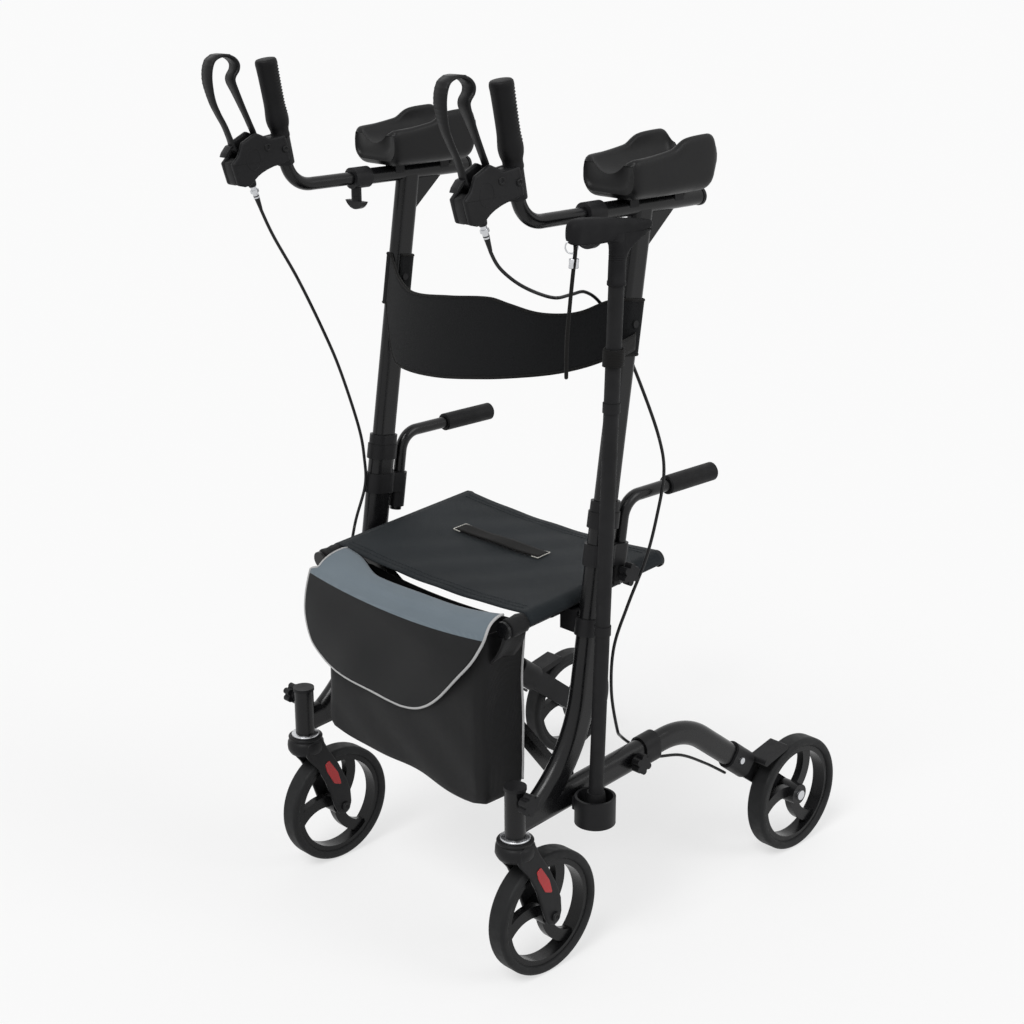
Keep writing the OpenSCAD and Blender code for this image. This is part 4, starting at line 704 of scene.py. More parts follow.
# hand grips, with serrated rear faces
gripValues = {
    "foot": (-0.333, 1.143), "start": 0.076, "length": 0.116, "lean": 11,
    "profile": [(0.0, 0.0138), (0.003, 0.0142), (0.008, 0.0138), (0.012, 0.0142), (0.019, 0.0162),
                (0.027, 0.0172), (0.035, 0.0168), (0.046, 0.0158), (0.06, 0.0156), (0.085, 0.0158),
                (0.102, 0.0162), (0.1085, 0.0166), (0.1105, 0.0166), (0.1145, 0.0158), (0.116, 0.0146)],
    "end": [(0.010, 0.0006), (0.001, 0.0008)],
    "ridges": 26, "ridgeHeight": 0.0007, "ridgeFrom": 0.03, "ridgeTo": 0.108, "fadeIn": 0.008,
    "fadeOut": 0.006, "ridgeWrap": 2.2,
}
gripLean = math.radians(gripValues["lean"])
gripAxis = Vector((0, -math.sin(gripLean), math.cos(gripLean)))
# the lathe starts to turn at this side of the axis, so the rear face lies here
gripRear = 0.0 if gripAxis.cross(Vector((1, 0, 0))).y > 0 else math.pi


def serration(a, h):
    v = gripValues
    run = clamp((h - v["ridgeFrom"]) / v["fadeIn"]) * clamp((v["ridgeTo"] - h) / v["fadeOut"])
    behind = min(max(0.0, math.cos(a - gripRear)) * v["ridgeWrap"], 1)
    return v["ridgeHeight"] * run * behind * math.sin(2 * math.pi * v["ridges"] * h / v["length"])


for side, s in sides.items():
    v = gripValues
    base = Vector((s * sidePlane, *v["foot"])) + gripAxis * v["start"]
    profile = [(eased(v["profile"], h), h) for h in np.linspace(0, v["length"], 180)]
    profile += [(r, v["length"] + h) for r, h in v["end"]]
    grip = latheMesh(f"{side}Grip", profile, base, gripAxis, gripRubber, 56, serration)
    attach(grip, f"{side}_handle")
    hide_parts(f"{side}_hand_grip")
print("hand grips made")

# brake housings: two cheeks beside the lever's slot, a body between them and a collar round the handle
housingValues = {
    "half": 0.016, "slot": 0.0083, "bevel": 0.0022, "round": 0.004, "bodyBevel": 0.0004, "bodyRound": 0.002,
    "pivot": (-0.4064, 1.2043), "pinRadius": 0.003, "sweep": 0.0283, "sweepFrom": -8, "sweepTo": -160,
    "cheek": [(-343, 1184), (-345, 1204), (-351, 1222), (-366, 1220), (-380, 1218.5), (-391, 1224),
              (-403, 1229), (-428, 1217), (-436, 1198), (-445, 1189), (-447.6, 1186.5), (-443, 1171),
              (-438, 1155), (-426, 1152), (-415, 1154), (-409, 1160), (-402, 1165.5), (-395, 1169.5),
              (-384, 1174), (-372, 1177.5), (-357, 1179.5)],
    "rear": [(-343.5, 1184.5), (-345.5, 1204), (-351.5, 1221), (-366, 1219.5), (-373, 1218.5),
             (-376, 1206)],
    "front": [(-446.5, 1187), (-442.5, 1171), (-437.5, 1155.5), (-426, 1152.5), (-415.3, 1154.5),
              (-409.3, 1160.5), (-402.3, 1166), (-395, 1170), (-384, 1174.5), (-372, 1178), (-357, 1180)],
    "stop": [(0.0068, -0.026), (0.0068, -0.004), (0.0062, -0.0004), (0.0056, 0.0012), (0.003, 0.0014)],
    "stopBack": 0.013, "oval": (-0.410, 1.191, 0.0125, 0.016), "ovalThick": 0.0006, "ovalSunk": 0.0002,
    "bolts": [(-0.384, 1.2065, 0.0058, 0.0012), (-0.3525, 1.2015, 0.005, 0.0022)],
    "collar": [(0.0102, 0.034), (0.0126, 0.0346), (0.0132, 0.036), (0.0132, 0.0748), (0.0126, 0.0758),
               (0.0102, 0.0764)],
}
for side, s in sides.items():
    v = housingValues
    middle = s * sidePlane
    cheekLine = rounded(inMetres(v["cheek"]), v["round"])
    y, z = v["pivot"]
    sweep = [(1000 * (y + v["sweep"] * math.cos(a)), 1000 * (z + v["sweep"] * math.sin(a)))
             for a in np.radians(np.linspace(v["sweepFrom"], v["sweepTo"], 14))]
    bodyLine = rounded(inMetres(v["rear"] + sweep + v["front"]), v["bodyRound"])
    pieces = []
    for name, outline, low, high, bevel in (
            ("Housing", cheekLine, v["slot"], v["half"], v["bevel"]),
            ("HousingInner", cheekLine, -v["half"], -v["slot"], v["bevel"]),
            ("HousingBody", bodyLine, -v["slot"], v["slot"], v["bodyBevel"])):
        pieces.append(plateMesh(side + name, outline, *mirrored(low, high, s), bevel, charcoal))
    handleFoot = (middle, *gripValues["foot"])
    pieces.append(latheMesh(f"{side}HousingCollar", v["collar"], handleFoot, gripAxis, charcoal, 40))
    cableOut, cableLow = np.array(cableValues["out"][0]), np.array(cableValues["out"][2])
    cableRun = Vector((0, *(cableLow - cableOut))).normalized()
    stopAt = Vector((middle, *cableOut)) - cableRun * v["stopBack"]
    pieces.append(latheMesh(f"{side}HousingStop", v["stop"], stopAt, cableRun, charcoal, 32))
    pin = [(v["pinRadius"], -v["slot"]), (v["pinRadius"], v["slot"])]
    pieces.append(latheMesh(f"{side}HousingPin", pin, (middle, *v["pivot"]), (1, 0, 0), charcoal, 20))
    y, z, wide, tall = v["oval"]
    for face in (-1, 1):
        ring = [(middle + face * (v["half"] - v["ovalSunk"]), y + wide * math.cos(a), z + tall * math.sin(a))
                for a in np.linspace(0, 2 * math.pi, 60, endpoint=False)]
        pieces.append(tubeMesh(f"{side}HousingOval", ring, v["ovalThick"], charcoal, 8, closed=True))
        for by, bz, r, deep in v["bolts"]:
            head = [(r, -0.002), (r, deep - 0.0007), (r - 0.0007, deep), (r * 0.56, deep),
                    (r * 0.5, deep - 0.0012), (0.0004, deep - 0.0014)]
            headAt = (middle + face * v["half"], by, bz)
            pieces.append(latheMesh(f"{side}HousingBolt", head, headAt, (face, 0, 0), leverBlack, 24))
    housing = joined(*pieces)
    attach(housing, f"{side}_handle")
    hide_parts(f"{side}_brake_housing")
print("brake housings made")

# brake levers: a flat strap bent into a loop, ribbed at the top, with a boss on the pivot and a thumb tab
leverValues = {
    "widths": [(1.2, 0.0148), (1.225, 0.0126), (1.255, 0.013), (1.285, 0.0175), (1.305, 0.0225),
               (1.335, 0.024), (1.345, 0.022)],
    "thick": 0.0046, "edge": 0.0012, "ribs": 9, "ribHeight": 0.0007, "ribSpan": 0.055, "ribsAbove": 1.285,
    "ribsAhead": -0.44, "boss": 0.009, "bossBore": 0.0032, "bossEdge": 0.001, "tabRound": 0.0015,
    "tabBevel": 0.0008,
    "tab": [(-438, 1214), (-441, 1207), (-452, 1196), (-455, 1196.5), (-452, 1203), (-444, 1212)],
    "loop": [(-411, 1199), (-400, 1206), (-396, 1222), (-405, 1244), (-415, 1265), (-426, 1288),
             (-433, 1303), (-432.5, 1311), (-426, 1320), (-425.5, 1329), (-433, 1337), (-445, 1341),
             (-456, 1340.5), (-466.5, 1335.5), (-472, 1325), (-473.8, 1311), (-472, 1296), (-466.5, 1276),
             (-458, 1258.5), (-448, 1241), (-439.5, 1221), (-435, 1208), (-424, 1199.5)],
}
for side, s in sides.items():
    v = leverValues
    line = resampled(smoothLine(inMetres(v["loop"] + v["loop"][:3]), 8)[8:-8], 221)[:-1]
    along = np.roll(line, -1, 0) - np.roll(line, 1, 0)
    along /= np.linalg.norm(along, axis=1)[:, None]
    out = np.stack([along[:, 1], -along[:, 0]], -1)  # looks away from the inside of the loop
    t, e, w = v["thick"] / 2, v["edge"], v["widths"][0][1] / 2
    rows = []
    for (y, z), (oy, oz) in zip(line, out):
        half = eased(v["widths"], z) / 2
        rib = 0
        if z > v["ribsAbove"] and y < v["ribsAhead"]:
            rib = v["ribHeight"] * max(0.0, math.sin(z * 2 * math.pi * v["ribs"] / v["ribSpan"])) ** 3
        section = [(e - half, t + rib), (half - e, t + rib), (half, t - e + rib), (half, e - t),
                   (half - e, -t), (e - half, -t), (-half, e - t), (-half, t - e + rib)]
        rows.append([(s * sidePlane + x, y + oy * d, z + oz * d) for x, d in section])
    loop = outward(addGrid(f"{side}Lever", rows, leverBlack, closeRows=True, closeCols=True))
    r, b = v["boss"], v["bossEdge"]
    bossLine = [(v["bossBore"], -w), (r - b, -w), (r, b - w), (r, w - b), (r - b, w), (v["bossBore"], w)]
    pivot = (s * sidePlane, *housingValues["pivot"])
    boss = latheMesh(f"{side}LeverBoss", bossLine, pivot, (1, 0, 0), leverBlack, 32)
    tabLine = rounded(inMetres(v["tab"]), v["tabRound"], 60)
    tabSpan = (s * sidePlane - w, s * sidePlane + w)
    tab = plateMesh(f"{side}LeverTab", tabLine, *tabSpan, v["tabBevel"], leverBlack)
    lever = joined(loop, boss, tab)
    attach(lever, f"{side}_lever")
    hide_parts(f"{side}_brake_lever")
print("brake levers made")

# caster forks: stepped crown, two swept legs, red inserts, bright washer, stem and axle heads
forkValues = {
    "stem": -0.348, "stemTube": [(0.01, 0.228), (0.01, 0.316)], "leg": (0.020, 0.0272), "bevel": 0.0022,
    "round": 0.008, "insertSpan": (0.0262, 0.0282), "insertRound": 0.0025, "insertBevel": 0.0004,
    "axleHead": [(0.0004, 0.0), (0.0072, 0.0), (0.0078, 0.0008), (0.0076, 0.0032), (0.0064, 0.0041),
                 (0.0034, 0.0041), (0.003, 0.0028), (0.0004, 0.0026)],
    "crown": [(0.004, 0.209), (0.02, 0.2092), (0.0262, 0.2122), (0.0296, 0.218), (0.0303, 0.225),
              (0.0296, 0.2312), (0.0272, 0.2348), (0.0262, 0.2354), (0.0262, 0.2368), (0.0278, 0.2376),
              (0.0282, 0.2402), (0.0274, 0.2416), (0.012, 0.2419)],
    "outline": [(-364, 232), (-350, 240), (-333, 238), (-322.5, 217), (-301.6, 183), (-286, 151),
                (-278, 127), (-276.5, 104), (-281, 90), (-291, 84.5), (-303, 89), (-310, 102), (-317, 122),
                (-327, 152), (-342, 182), (-358, 202), (-366, 214)],
    "insert": [(-330.7, 189), (-322.5, 195), (-304.7, 168), (-297.5, 143), (-313, 149.5), (-327, 175)],
    "washer": [(0.0104, 0.2421), (0.0222, 0.2421), (0.0226, 0.2427), (0.0226, 0.2452), (0.022, 0.2458),
               (0.0104, 0.2458)],
}
for side, s in sides.items():
    v = forkValues
    centre = (s * sidePlane, v["stem"], 0)
    legLine = rounded(inMetres(v["outline"]), v["round"])
    insertLine = rounded(inMetres(v["insert"]), v["insertRound"], 60)
    crown = latheMesh(f"{side}Fork", v["crown"], centre, (0, 0, 1), charcoal, 56)
    legs, inserts, heads = [], [], []
    for name, face in (("Outer", s), ("Inner", -s)):
        legSpan = sorted(s * sidePlane + face * x for x in v["leg"])
        legs.append(plateMesh(f"{side}Fork{name}", legLine, *legSpan, v["bevel"], charcoal))
        span = sorted(s * sidePlane + face * x for x in v["insertSpan"])
        inserts.append(plateMesh(f"{side}ForkInserts", insertLine, *span, v["insertBevel"], reflectorRed))
    for face in (-1, 1):
        headAt = (s * sidePlane + face * v["leg"][1], *wheelValues["front_wheel"])
        heads.append(latheMesh(f"{side}ForkAxle", v["axleHead"], headAt, (face, 0, 0), leverBlack, 28))
    stem = latheMesh(f"{side}ForkStem", v["stemTube"], centre, (0, 0, 1), charcoal, 32)
    fork, inserts, heads = joined(crown, *legs, stem), joined(*inserts), joined(*heads)
    washer = latheMesh(f"{side}ForkWasher", v["washer"], centre, (0, 0, 1), brightSteel, 48)
    for piece in (fork, inserts, heads, washer):
        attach(piece, f"{side}_caster")
    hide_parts(f"{side}_caster_fork")
print("caster forks made")

# seat cloth, hems, pull strap and its stitches
seatValues = {
    "half": 0.212, "hem": 0.0157, "sag": 0.009, "front": -0.056, "depth": 0.288, "rise": 0.276,
    "thick": 0.0022, "wrap": 1.75, "wrapColumns": 14, "pivot": (-0.215, 0.287636), "tilt": 5,
    "edgeDrop": 0.0016, "broadRipple": 0.0009, "fineRipple": 0.0006, "foldKeep": 0.585,
    "strap": (-0.109, 0.081), "strapWidth": 0.024, "strapAt": 0.117, "strapThick": 0.0018,
    "strapLift": 0.0022, "strapArch": 0.0035, "hemLift": 0.0003,
    "hemRows": (0.012, 0.020), "hemThread": 0.00035, "hemPitch": 0.0075, "hemStitch": 0.0052, "hemHalf": 0.2,
    "boxThread": 0.0008, "boxEdge": 0.0015, "boxOut": 0.002, "boxPitch": 0.0052, "boxStitch": 0.0042,
    "boxLift": 0.003,
}
tilt = math.radians(seatValues["tilt"])


def seatPoint(x, y, z):  # from the seat's tilted frame to the shared frame
    ahead, up = seatValues["pivot"]
    return (x, ahead + y * math.cos(tilt) - z * math.sin(tilt), up + y * math.sin(tilt) + z * math.cos(tilt))


def seatHeight(x, y):
    v = seatValues
    inside = 1 - (x / v["half"]) ** 2
    cross = (y - v["front"]) / v["depth"]
    ripple = v["broadRipple"] * math.sin(23 * x + 9 * cross) * math.sin(math.pi * cross)
    ripple += v["fineRipple"] * math.sin(61 * x - 17 * cross)
    edge = v["edgeDrop"] * (abs(2 * cross - 1) ** 6)
    return v["rise"] + v["hem"] - v["sag"] * inside + ripple * inside - edge * inside


def seatSection(y):
    v = seatValues
    left = [(-v["half"] + v["hem"] * math.cos(a), v["rise"] + v["hem"] * math.sin(a))
            for a in np.linspace(math.pi / 2 + v["wrap"], math.pi / 2, v["wrapColumns"])]
    middle = [(x, seatHeight(x, y)) for x in np.linspace(-v["half"], v["half"], 61)[1:-1]]
    right = [(-x, z) for x, z in reversed(left)]
    return left + middle + right


seatRows = np.linspace(seatValues["front"], seatValues["front"] + seatValues["depth"], 45)
rows = [[seatPoint(x, y, z) for x, z in seatSection(y)] for y in seatRows]
wrapCols = seatValues["wrapColumns"]  # the hem round the right rail goes with that rail
seatCloth = addGrid("seatCloth", [row[wrapCols - 1:] for row in rows], seatNylon)
rightHem = addGrid("seatRightHem", [row[:wrapCols] for row in rows], seatNylon)
for piece in (seatCloth, rightHem):
    settled(piece, ("SOLIDIFY", {"thickness": seatValues["thick"], "offset": -1}))
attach(rightHem, "right_rail")
section = [(x, 0, z) for x, z in seatSection(0)]
sectionLength, hemLength = lineLength(section[wrapCols - 1:]), lineLength(section[:wrapCols])
print("seat cloth", round(sectionLength, 3), "m and hem", round(hemLength, 3), "m across")


def hemLine(y):  # a row of small stitches across the seat, near its edge
    v = seatValues
    at = lambda x: Vector(seatPoint(x, y, seatHeight(x, y) + v["hemLift"]))
    return [(at(x), at(x + v["hemStitch"])) for x in np.arange(-v["hemHalf"], v["hemHalf"], v["hemPitch"])]


def stitchMesh(name, runs, radius, material):
    verts, faces, around = [], [], 6
    for a, b in runs:
        line = [a, a.lerp(b, 0.5) + Vector((0, 0, radius * 0.6)), b]
        start = len(verts)
        for p, (u, v) in zip(line, ringFrames(np.array(line))):
            for k in range(around):
                t = 2 * math.pi * k / around
                verts.append(np.array(p) + radius * (math.cos(t) * u + math.sin(t) * v))
        faces += gridFaces(len(line), around, closeCols=True, start=start) + endCaps(len(line), around, start)
    return addObject(name, verts, faces, material)


v = seatValues
hemPlaces = [seatRows[0] + d for d in v["hemRows"]] + [seatRows[-1] - d for d in v["hemRows"]]
hems = stitchMesh("seatHems", [run for y in hemPlaces for run in hemLine(y)], v["hemThread"], darkThread)
strapRows, steps = [], 60
for i in range(steps + 1):
    x = v["strap"][0] + (v["strap"][1] - v["strap"][0]) * i / steps
    rise = v["strapLift"] + v["strapArch"] * math.sin(math.pi * i / steps) ** 0.7
    strapRows.append([seatPoint(x, v["strapAt"] + k, seatHeight(x, v["strapAt"] + k) + rise)
                      for k in np.linspace(-v["strapWidth"] / 2, v["strapWidth"] / 2, 7)])
pullStrap = addGrid("pullStrap", strapRows, webbing)
settled(pullStrap, ("SOLIDIFY", {"thickness": v["strapThick"], "offset": -1}))
brackets = []
for end, inward in ((v["strap"][0], 1), (v["strap"][1], -1)):
    def at(dx, dy):
        x, y = end + dx, v["strapAt"] + dy
        return Vector(seatPoint(x, y, seatHeight(x, y) + v["boxLift"]))

    edge = v["strapWidth"] / 2 + v["boxEdge"]
    for k in range(6):
        y0 = -edge + k * edge / 3
        brackets.append((at(-inward * v["boxOut"], y0), at(-inward * v["boxOut"], y0 + edge / 3 * 0.8)))
    for sign in (-1, 1):
        for k in range(3):
            x0 = inward * (-v["boxOut"] + v["boxPitch"] * k)
            brackets.append((at(x0, sign * edge), at(x0 + inward * v["boxStitch"], sign * edge)))
stitches = stitchMesh("strapStitches", brackets, v["boxThread"], thread)
for piece in (seatCloth, hems, pullStrap, stitches):
    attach(piece, "left_rail")
    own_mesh(piece)
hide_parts("seat_sling")
print("seat made")

# carry bag: a sagging shell, its flap, piping and rail sleeves
bagValues = {
    "half": 0.186, "front": -0.352, "rear": -0.26, "top": 0.5416, "bottom": 0.2635, "thick": 0.0024,
    "cornerPower": 16.0, "bulge": 0.007, "drawIn": 0.006, "lowShare": 0.75, "mouthShare": 0.2,
    "mouthDip": 0.02, "broadCrease": 0.0022, "fineCrease": 0.0016, "sideCrease": 0.0018,
    "rings": (0, 0.955, 34), "floorRise": 0.004, "rightRise": 0.016, "rearRise": 0.016, "floorWave": 0.0035,
    "floor": [(0.985, 1.0, 0.004), (0.94, 1.0, 0.0005), (0.8, 0.75, -0.001), (0.5, 0.75, -0.002),
              (0.22, 0.75, -0.002)],
    "flapPlane": -0.3655, "flapBelly": 0.006, "flapSag": 0.018, "flapDraw": 0.026, "flapSpan": (-0.188, 0.2),
    "broadFold": 0.0025, "fineFold": 0.0018, "flapCurl": 0.006, "flapTopWave": 0.0012,
    "flapThick": 0.0022, "flapCut": (0.423, 0.262), "flapColumns": 61, "bandRows": 8,
    "flapTop": [(-0.2965, 0.572), (-0.306, 0.5735), (-0.317, 0.573), (-0.328, 0.5715), (-0.339, 0.568),
                (-0.348, 0.563), (-0.3545, 0.557)],
    "flapPiping": 0.0021, "rearPiping": 0.0018,
    "sleeve": [(0.0118, 0), (0.0143, 0.0008), (0.0148, 0.004), (0.0145, 0.014), (0.0149, 0.024),
               (0.0144, 0.033), (0.0118, 0.0338)],
    "sleeveAt": -0.0885, "sleeveFolds": 0.0006, "hangerAt": (0.2125, 0.5485), "hangerRun": (0.0245, 0.045),
    "hangerSpan": (-0.336, -0.29), "hangerDip": 0.002,
    "flap": [(0.57, -0.188, 0.2), (0.56, -0.196, 0.204), (0.545, -0.204, 0.2), (0.526, -0.211, 0.19),
             (0.5, -0.2165, 0.174), (0.473, -0.218, 0.15), (0.44, -0.21, 0.119), (0.421, -0.2, 0.099),
             (0.407, -0.178, 0.081), (0.399, -0.152, 0.068), (0.393, -0.106, 0.055), (0.3885, -0.06, 0.038),
             (0.386, -0.02, 0.018)],
}


def bagRing(share, n=96):  # share 0 at the top, 1 at the bottom
    v = bagValues
    cy = (v["front"] + v["rear"]) / 2
    halfY = (v["rear"] - v["front"]) / 2
    z = v["top"] + (v["bottom"] - v["top"]) * share
    ring = []
    for k in range(n):
        a = 2 * math.pi * k / n
        dx, dy = math.cos(a), math.sin(a)
        scale = 1 / max(abs(dx) / v["half"], abs(dy) / halfY)
        x, y = dx * scale, dy * scale
        e = v["cornerPower"]
        r = ((abs(x) / v["half"]) ** e + (abs(y) / halfY) ** e) ** (1 / e)
        ring.append((x / r, y / r))
    pts = resampled(ring + [ring[0]], n + 1)[:-1]
    out = []
    for x, y in pts:
        u = x / v["half"]
        w = y / halfY
        hang = math.sin(math.pi * min(share, 1)) ** 0.8
        push = v["bulge"] * hang * (1 - u * u) * (1 if w < 0 else 0.6) * min(abs(w), 1)
        side = -v["drawIn"] * hang * (1 - w * w) * min(abs(u), 1)
        crease = v["broadCrease"] * math.sin(19 * x + 7 * share + 3 * w)
        crease *= math.sin(math.pi * share) * (1 - u ** 8)
        crease += v["fineCrease"] * math.sin(47 * x - 16 * share) * share
        yy = y + math.copysign(1, w) * (push + crease * min(abs(w), 1))
        side += v["sideCrease"] * math.sin(30 * y + 11 * share) * min(abs(u), 1)
        xx = x + math.copysign(1, u) * side
        dip = 0.0
        if share > v["lowShare"]:
            low = (share - v["lowShare"]) / (1 - v["lowShare"])
            rise = (v["floorRise"] + v["rightRise"] * max(0, -(x - 0.15)) / 0.336) * low
            rise += v["rearRise"] * max(0, w) * low
            rise += v["floorWave"] * math.sin(26 * x + 1.0) * low
            dip = max(rise, -0.001)
        if share < v["mouthShare"]:
            dip -= v["mouthDip"] * (1 - u * u) * (1 - share / v["mouthShare"]) * (0.6 if w > 0 else 1.0)
        out.append((xx, cy + yy, z + dip))
    return out


rows = [bagRing(t) for t in np.linspace(*bagValues["rings"])]
lastRing = np.array(bagRing(1.0))
middle = lastRing.mean(0)
for shrink, level, lift in bagValues["floor"]:
    inner = middle + (lastRing - middle) * (shrink, shrink, 1)
    inner[:, 2] = lastRing[:, 2] * level + middle[2] * (1 - level) + lift
    rows.append([tuple(p) for p in inner])
ring = len(rows[0])
verts = [p for row in rows for p in row]
faces = gridFaces(len(rows), ring, closeCols=True, flip=True)
verts.append(tuple(np.array(rows[-1]).mean(0)))
start = (len(rows) - 1) * ring
faces += [(start + (k + 1) % ring, start + k, len(verts) - 1) for k in range(ring)]
bagBody = addObject("bagBody", verts, faces, bagNylon)
settled(bagBody, ("SOLIDIFY", {"thickness": bagValues["thick"], "offset": -1}))


def flapPlace(x, z):  # the cloth hangs down the front of the bag
    v = bagValues
    u = x / 0.21
    belly = v["flapBelly"] * math.sin(math.pi * clamp((0.565 - z) / 0.18)) * max(0, 1 - u * u)
    fold = v["broadFold"] * math.sin(17 * x + 24 * z) * clamp((0.56 - z) / 0.05)
    fold += v["fineFold"] * math.sin(43 * x - 31 * z) * clamp((0.52 - z) / 0.08)
    return v["flapPlane"] - belly - fold + v["flapCurl"] * abs(u) ** 3


def flapSag(x):
    return bagValues["flapSag"] * max(0, 1 - (x / 0.2) ** 2)


def flapDraw(x):  # the rear edge is drawn forward away from the right rail
    t = clamp((x + 0.165) / 0.09)
    return bagValues["flapDraw"] * t * t * (3 - 2 * t)


flapRows, span = [], bagValues["flapColumns"]
for y, z in bagValues["flapTop"]:
    drawn = clamp((y + 0.3545) / 0.058)
    hang = 0.9 if y > -0.33 else 0.75
    wave = bagValues["flapTopWave"]
    flapRows.append([(x, y - flapDraw(x) * drawn, z - flapSag(x) * hang + wave * math.sin(31 * x + 60 * y))
                     for x in np.linspace(*bagValues["flapSpan"], span)])
for z in [*np.linspace(0.55, 0.43, 16), *np.linspace(0.424, 0.386, 16)]:
    low = eased([(-a[0], a[1]) for a in bagValues["flap"]], -z)
    high = eased([(-a[0], a[2]) for a in bagValues["flap"]], -z)
    fade = clamp((z - 0.5) / 0.05)
    flapRows.append([(x, flapPlace(x, z), z - flapSag(x) * 0.6 * fade) for x in np.linspace(low, high, span)])
flap = addGrid("bagFlap", flapRows, flapNylon, flip=True)
flap.data.materials.append(flapBand)
for poly in flap.data.polygons:
    if min(i // span for i in poly.vertices) < bagValues["bandRows"]:
        poly.material_index = 1
settled(flap, ("SOLIDIFY", {"thickness": bagValues["flapThick"], "offset": 0}))
edgeLine = [row[0] for row in flapRows] + flapRows[-1][1:-1] + [row[-1] for row in flapRows[::-1]]
flapPiping = tubeMesh("flapPiping", resampled(edgeLine, 150), bagValues["flapPiping"], piping, 10)
rearPiping = []
for sign in (-1, 1):
    line = []
    for t in np.linspace(0.02, 0.96, 40):
        ringPts = np.array(bagRing(t))
        k = np.argmax(sign * ringPts[:, 0] + 1.2 * ringPts[:, 1])
        line.append(ringPts[k] + (sign * 0.0008, 0.0006, 0))
    where = "Left" if sign > 0 else "Right"
    rearPiping.append(tubeMesh("rearPiping" + where, line, bagValues["rearPiping"], piping, 10))
sleeves = []
for sign in (-1, 1):
    where = "Left" if sign > 0 else "Right"
    railX, railZ = sign * seatValues["half"], seatValues["rise"]
    base = seatPoint(railX, bagValues["sleeveAt"], railZ)
    ahead = np.array(seatPoint(railX, 0, railZ)) - np.array(base)
    sleeve = latheMesh("railSleeve" + where, bagValues["sleeve"], base, ahead, bagNylon, 40,
                       lambda a, h: bagValues["sleeveFolds"] * math.sin(5 * a + 300 * h))
    (atX, atZ), (runX, runZ), dip = bagValues["hangerAt"], bagValues["hangerRun"], bagValues["hangerDip"]
    across = np.linspace(*bagValues["hangerSpan"], 7)
    tab = []
    for t in np.linspace(0, 1, 9):
        x, z = sign * (atX - runX * t ** 1.5), atZ - runZ * t
        tab.append([(x, y, z - dip * abs(k - 3)) for k, y in enumerate(across)])
    hanger = addGrid("railHanger" + where, tab, bagNylon)
    settled(hanger, ("SOLIDIFY", {"thickness": bagValues["flapThick"], "offset": 0}))
    sleeves += [sleeve, hanger]
for piece in (bagBody, flap, flapPiping, *rearPiping, *sleeves):
    if piece.name == "railSleeveRight":
        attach(piece, "right_rail")
    else:
        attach(piece, "left_rail")
        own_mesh(piece)
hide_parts("carry_bag")

# back strap with bound edges and post cuffs
backValues = {
    "top": [(-0.262, 0.066), (-0.25, 0.065), (-0.235, 0.055), (-0.2, 0.032), (-0.147, 0.018),
            (-0.046, 0.026), (0.041, 0.036), (0.08, 0.032), (0.128, 0.027), (0.171, 0.031), (0.2, 0.04),
            (0.231, 0.058), (0.25, 0.065), (0.262, 0.066)],
    "bottom": [(-0.262, -0.012), (-0.25, -0.016), (-0.235, -0.036), (-0.2, -0.086), (-0.175, -0.1),
               (-0.068, -0.098), (0.044, -0.082), (0.117, -0.067), (0.17, -0.053), (0.209, -0.038),
               (0.236, -0.024), (0.25, -0.014), (0.262, -0.012)],
    "thick": 0.0027, "bow": 0.052, "half": 0.244, "post": (0.0115, 0.0205), "off": 0.0022,
    "cuff": (-0.012, 0.066), "at": (-0.12899, 0.947), "lean": 8.7, "binding": 0.0024, "cutHeight": 0.168,
    "foldKeep": 0.632, "cuffFront": -0.015, "cutAt": -0.2441,
}
lean = math.radians(backValues["lean"])


def strapPoint(x, y, h):
    ahead, up = backValues["at"]
    return (x, ahead + y * math.cos(lean) + h * math.sin(lean), up - y * math.sin(lean) + h * math.cos(lean))


def strapPath():  # plan line: round one post, across the front in a bow, round the other
    v = backValues
    half, reach = v["half"], v["post"][1] + v["off"]
    radius = (half ** 2 + v["bow"] ** 2) / (2 * v["bow"])
    line = [(x, -reach - v["bow"] + radius - math.sqrt(radius ** 2 - x * x))
            for x in np.linspace(-half, half, 81)]
    r = v["post"][0] + v["off"]
    flat = v["post"][1] - v["post"][0]
    steps = np.linspace(0, 1, 8)[1:]
    around = [(sidePlane + r * math.cos(a), -flat + r * math.sin(a))
              for a in np.linspace(-math.pi / 2 + 0.35, 0, 8)]
    around += [(sidePlane + r, -flat + 2 * flat * t) for t in steps]
    around += [(sidePlane + r * math.cos(a), flat + r * math.sin(a)) for a in np.linspace(0, math.pi, 16)[1:]]
    around += [(sidePlane - r, flat - 2 * flat * t) for t in steps]
    left = [(-x, y) for x, y in around][::-1]
    return resampled(left + line + around, 241)


plan = strapPath()
strapRows = []
for x, y in plan:
    lowEdge, topEdge = backValues["cuff"]
    if abs(x) < backValues["half"] and y < backValues["cuffFront"]:
        lowEdge, topEdge = eased(backValues["bottom"], x), eased(backValues["top"], x)
    strapRows.append([strapPoint(x, y, lowEdge + (topEdge - lowEdge) * t) for t in np.linspace(0, 1, 17)])
cut = max(i for i, (x, y) in enumerate(plan) if x < backValues["cutAt"] and i < len(plan) / 2)
strapSheet = addGrid("backStrap", strapRows[cut:], strapCloth)
strapCuff = addGrid("strapRightCuff", strapRows[:cut + 1], strapCloth)
for piece in (strapSheet, strapCuff):
    settled(piece, ("SOLIDIFY", {"thickness": backValues["thick"], "offset": 0}))
bindings, cuffBindings = [], []
for edge, column in (("Top", -1), ("Low", 0)):
    line, radius = [row[column] for row in strapRows], backValues["binding"]
    bindings.append(tubeMesh("strapBinding" + edge, resampled(line[cut:], 230), radius, webbing, 10))
    cuffBindings.append(tubeMesh("cuffBinding" + edge, resampled(line[:cut + 1], 50), radius, webbing, 10))
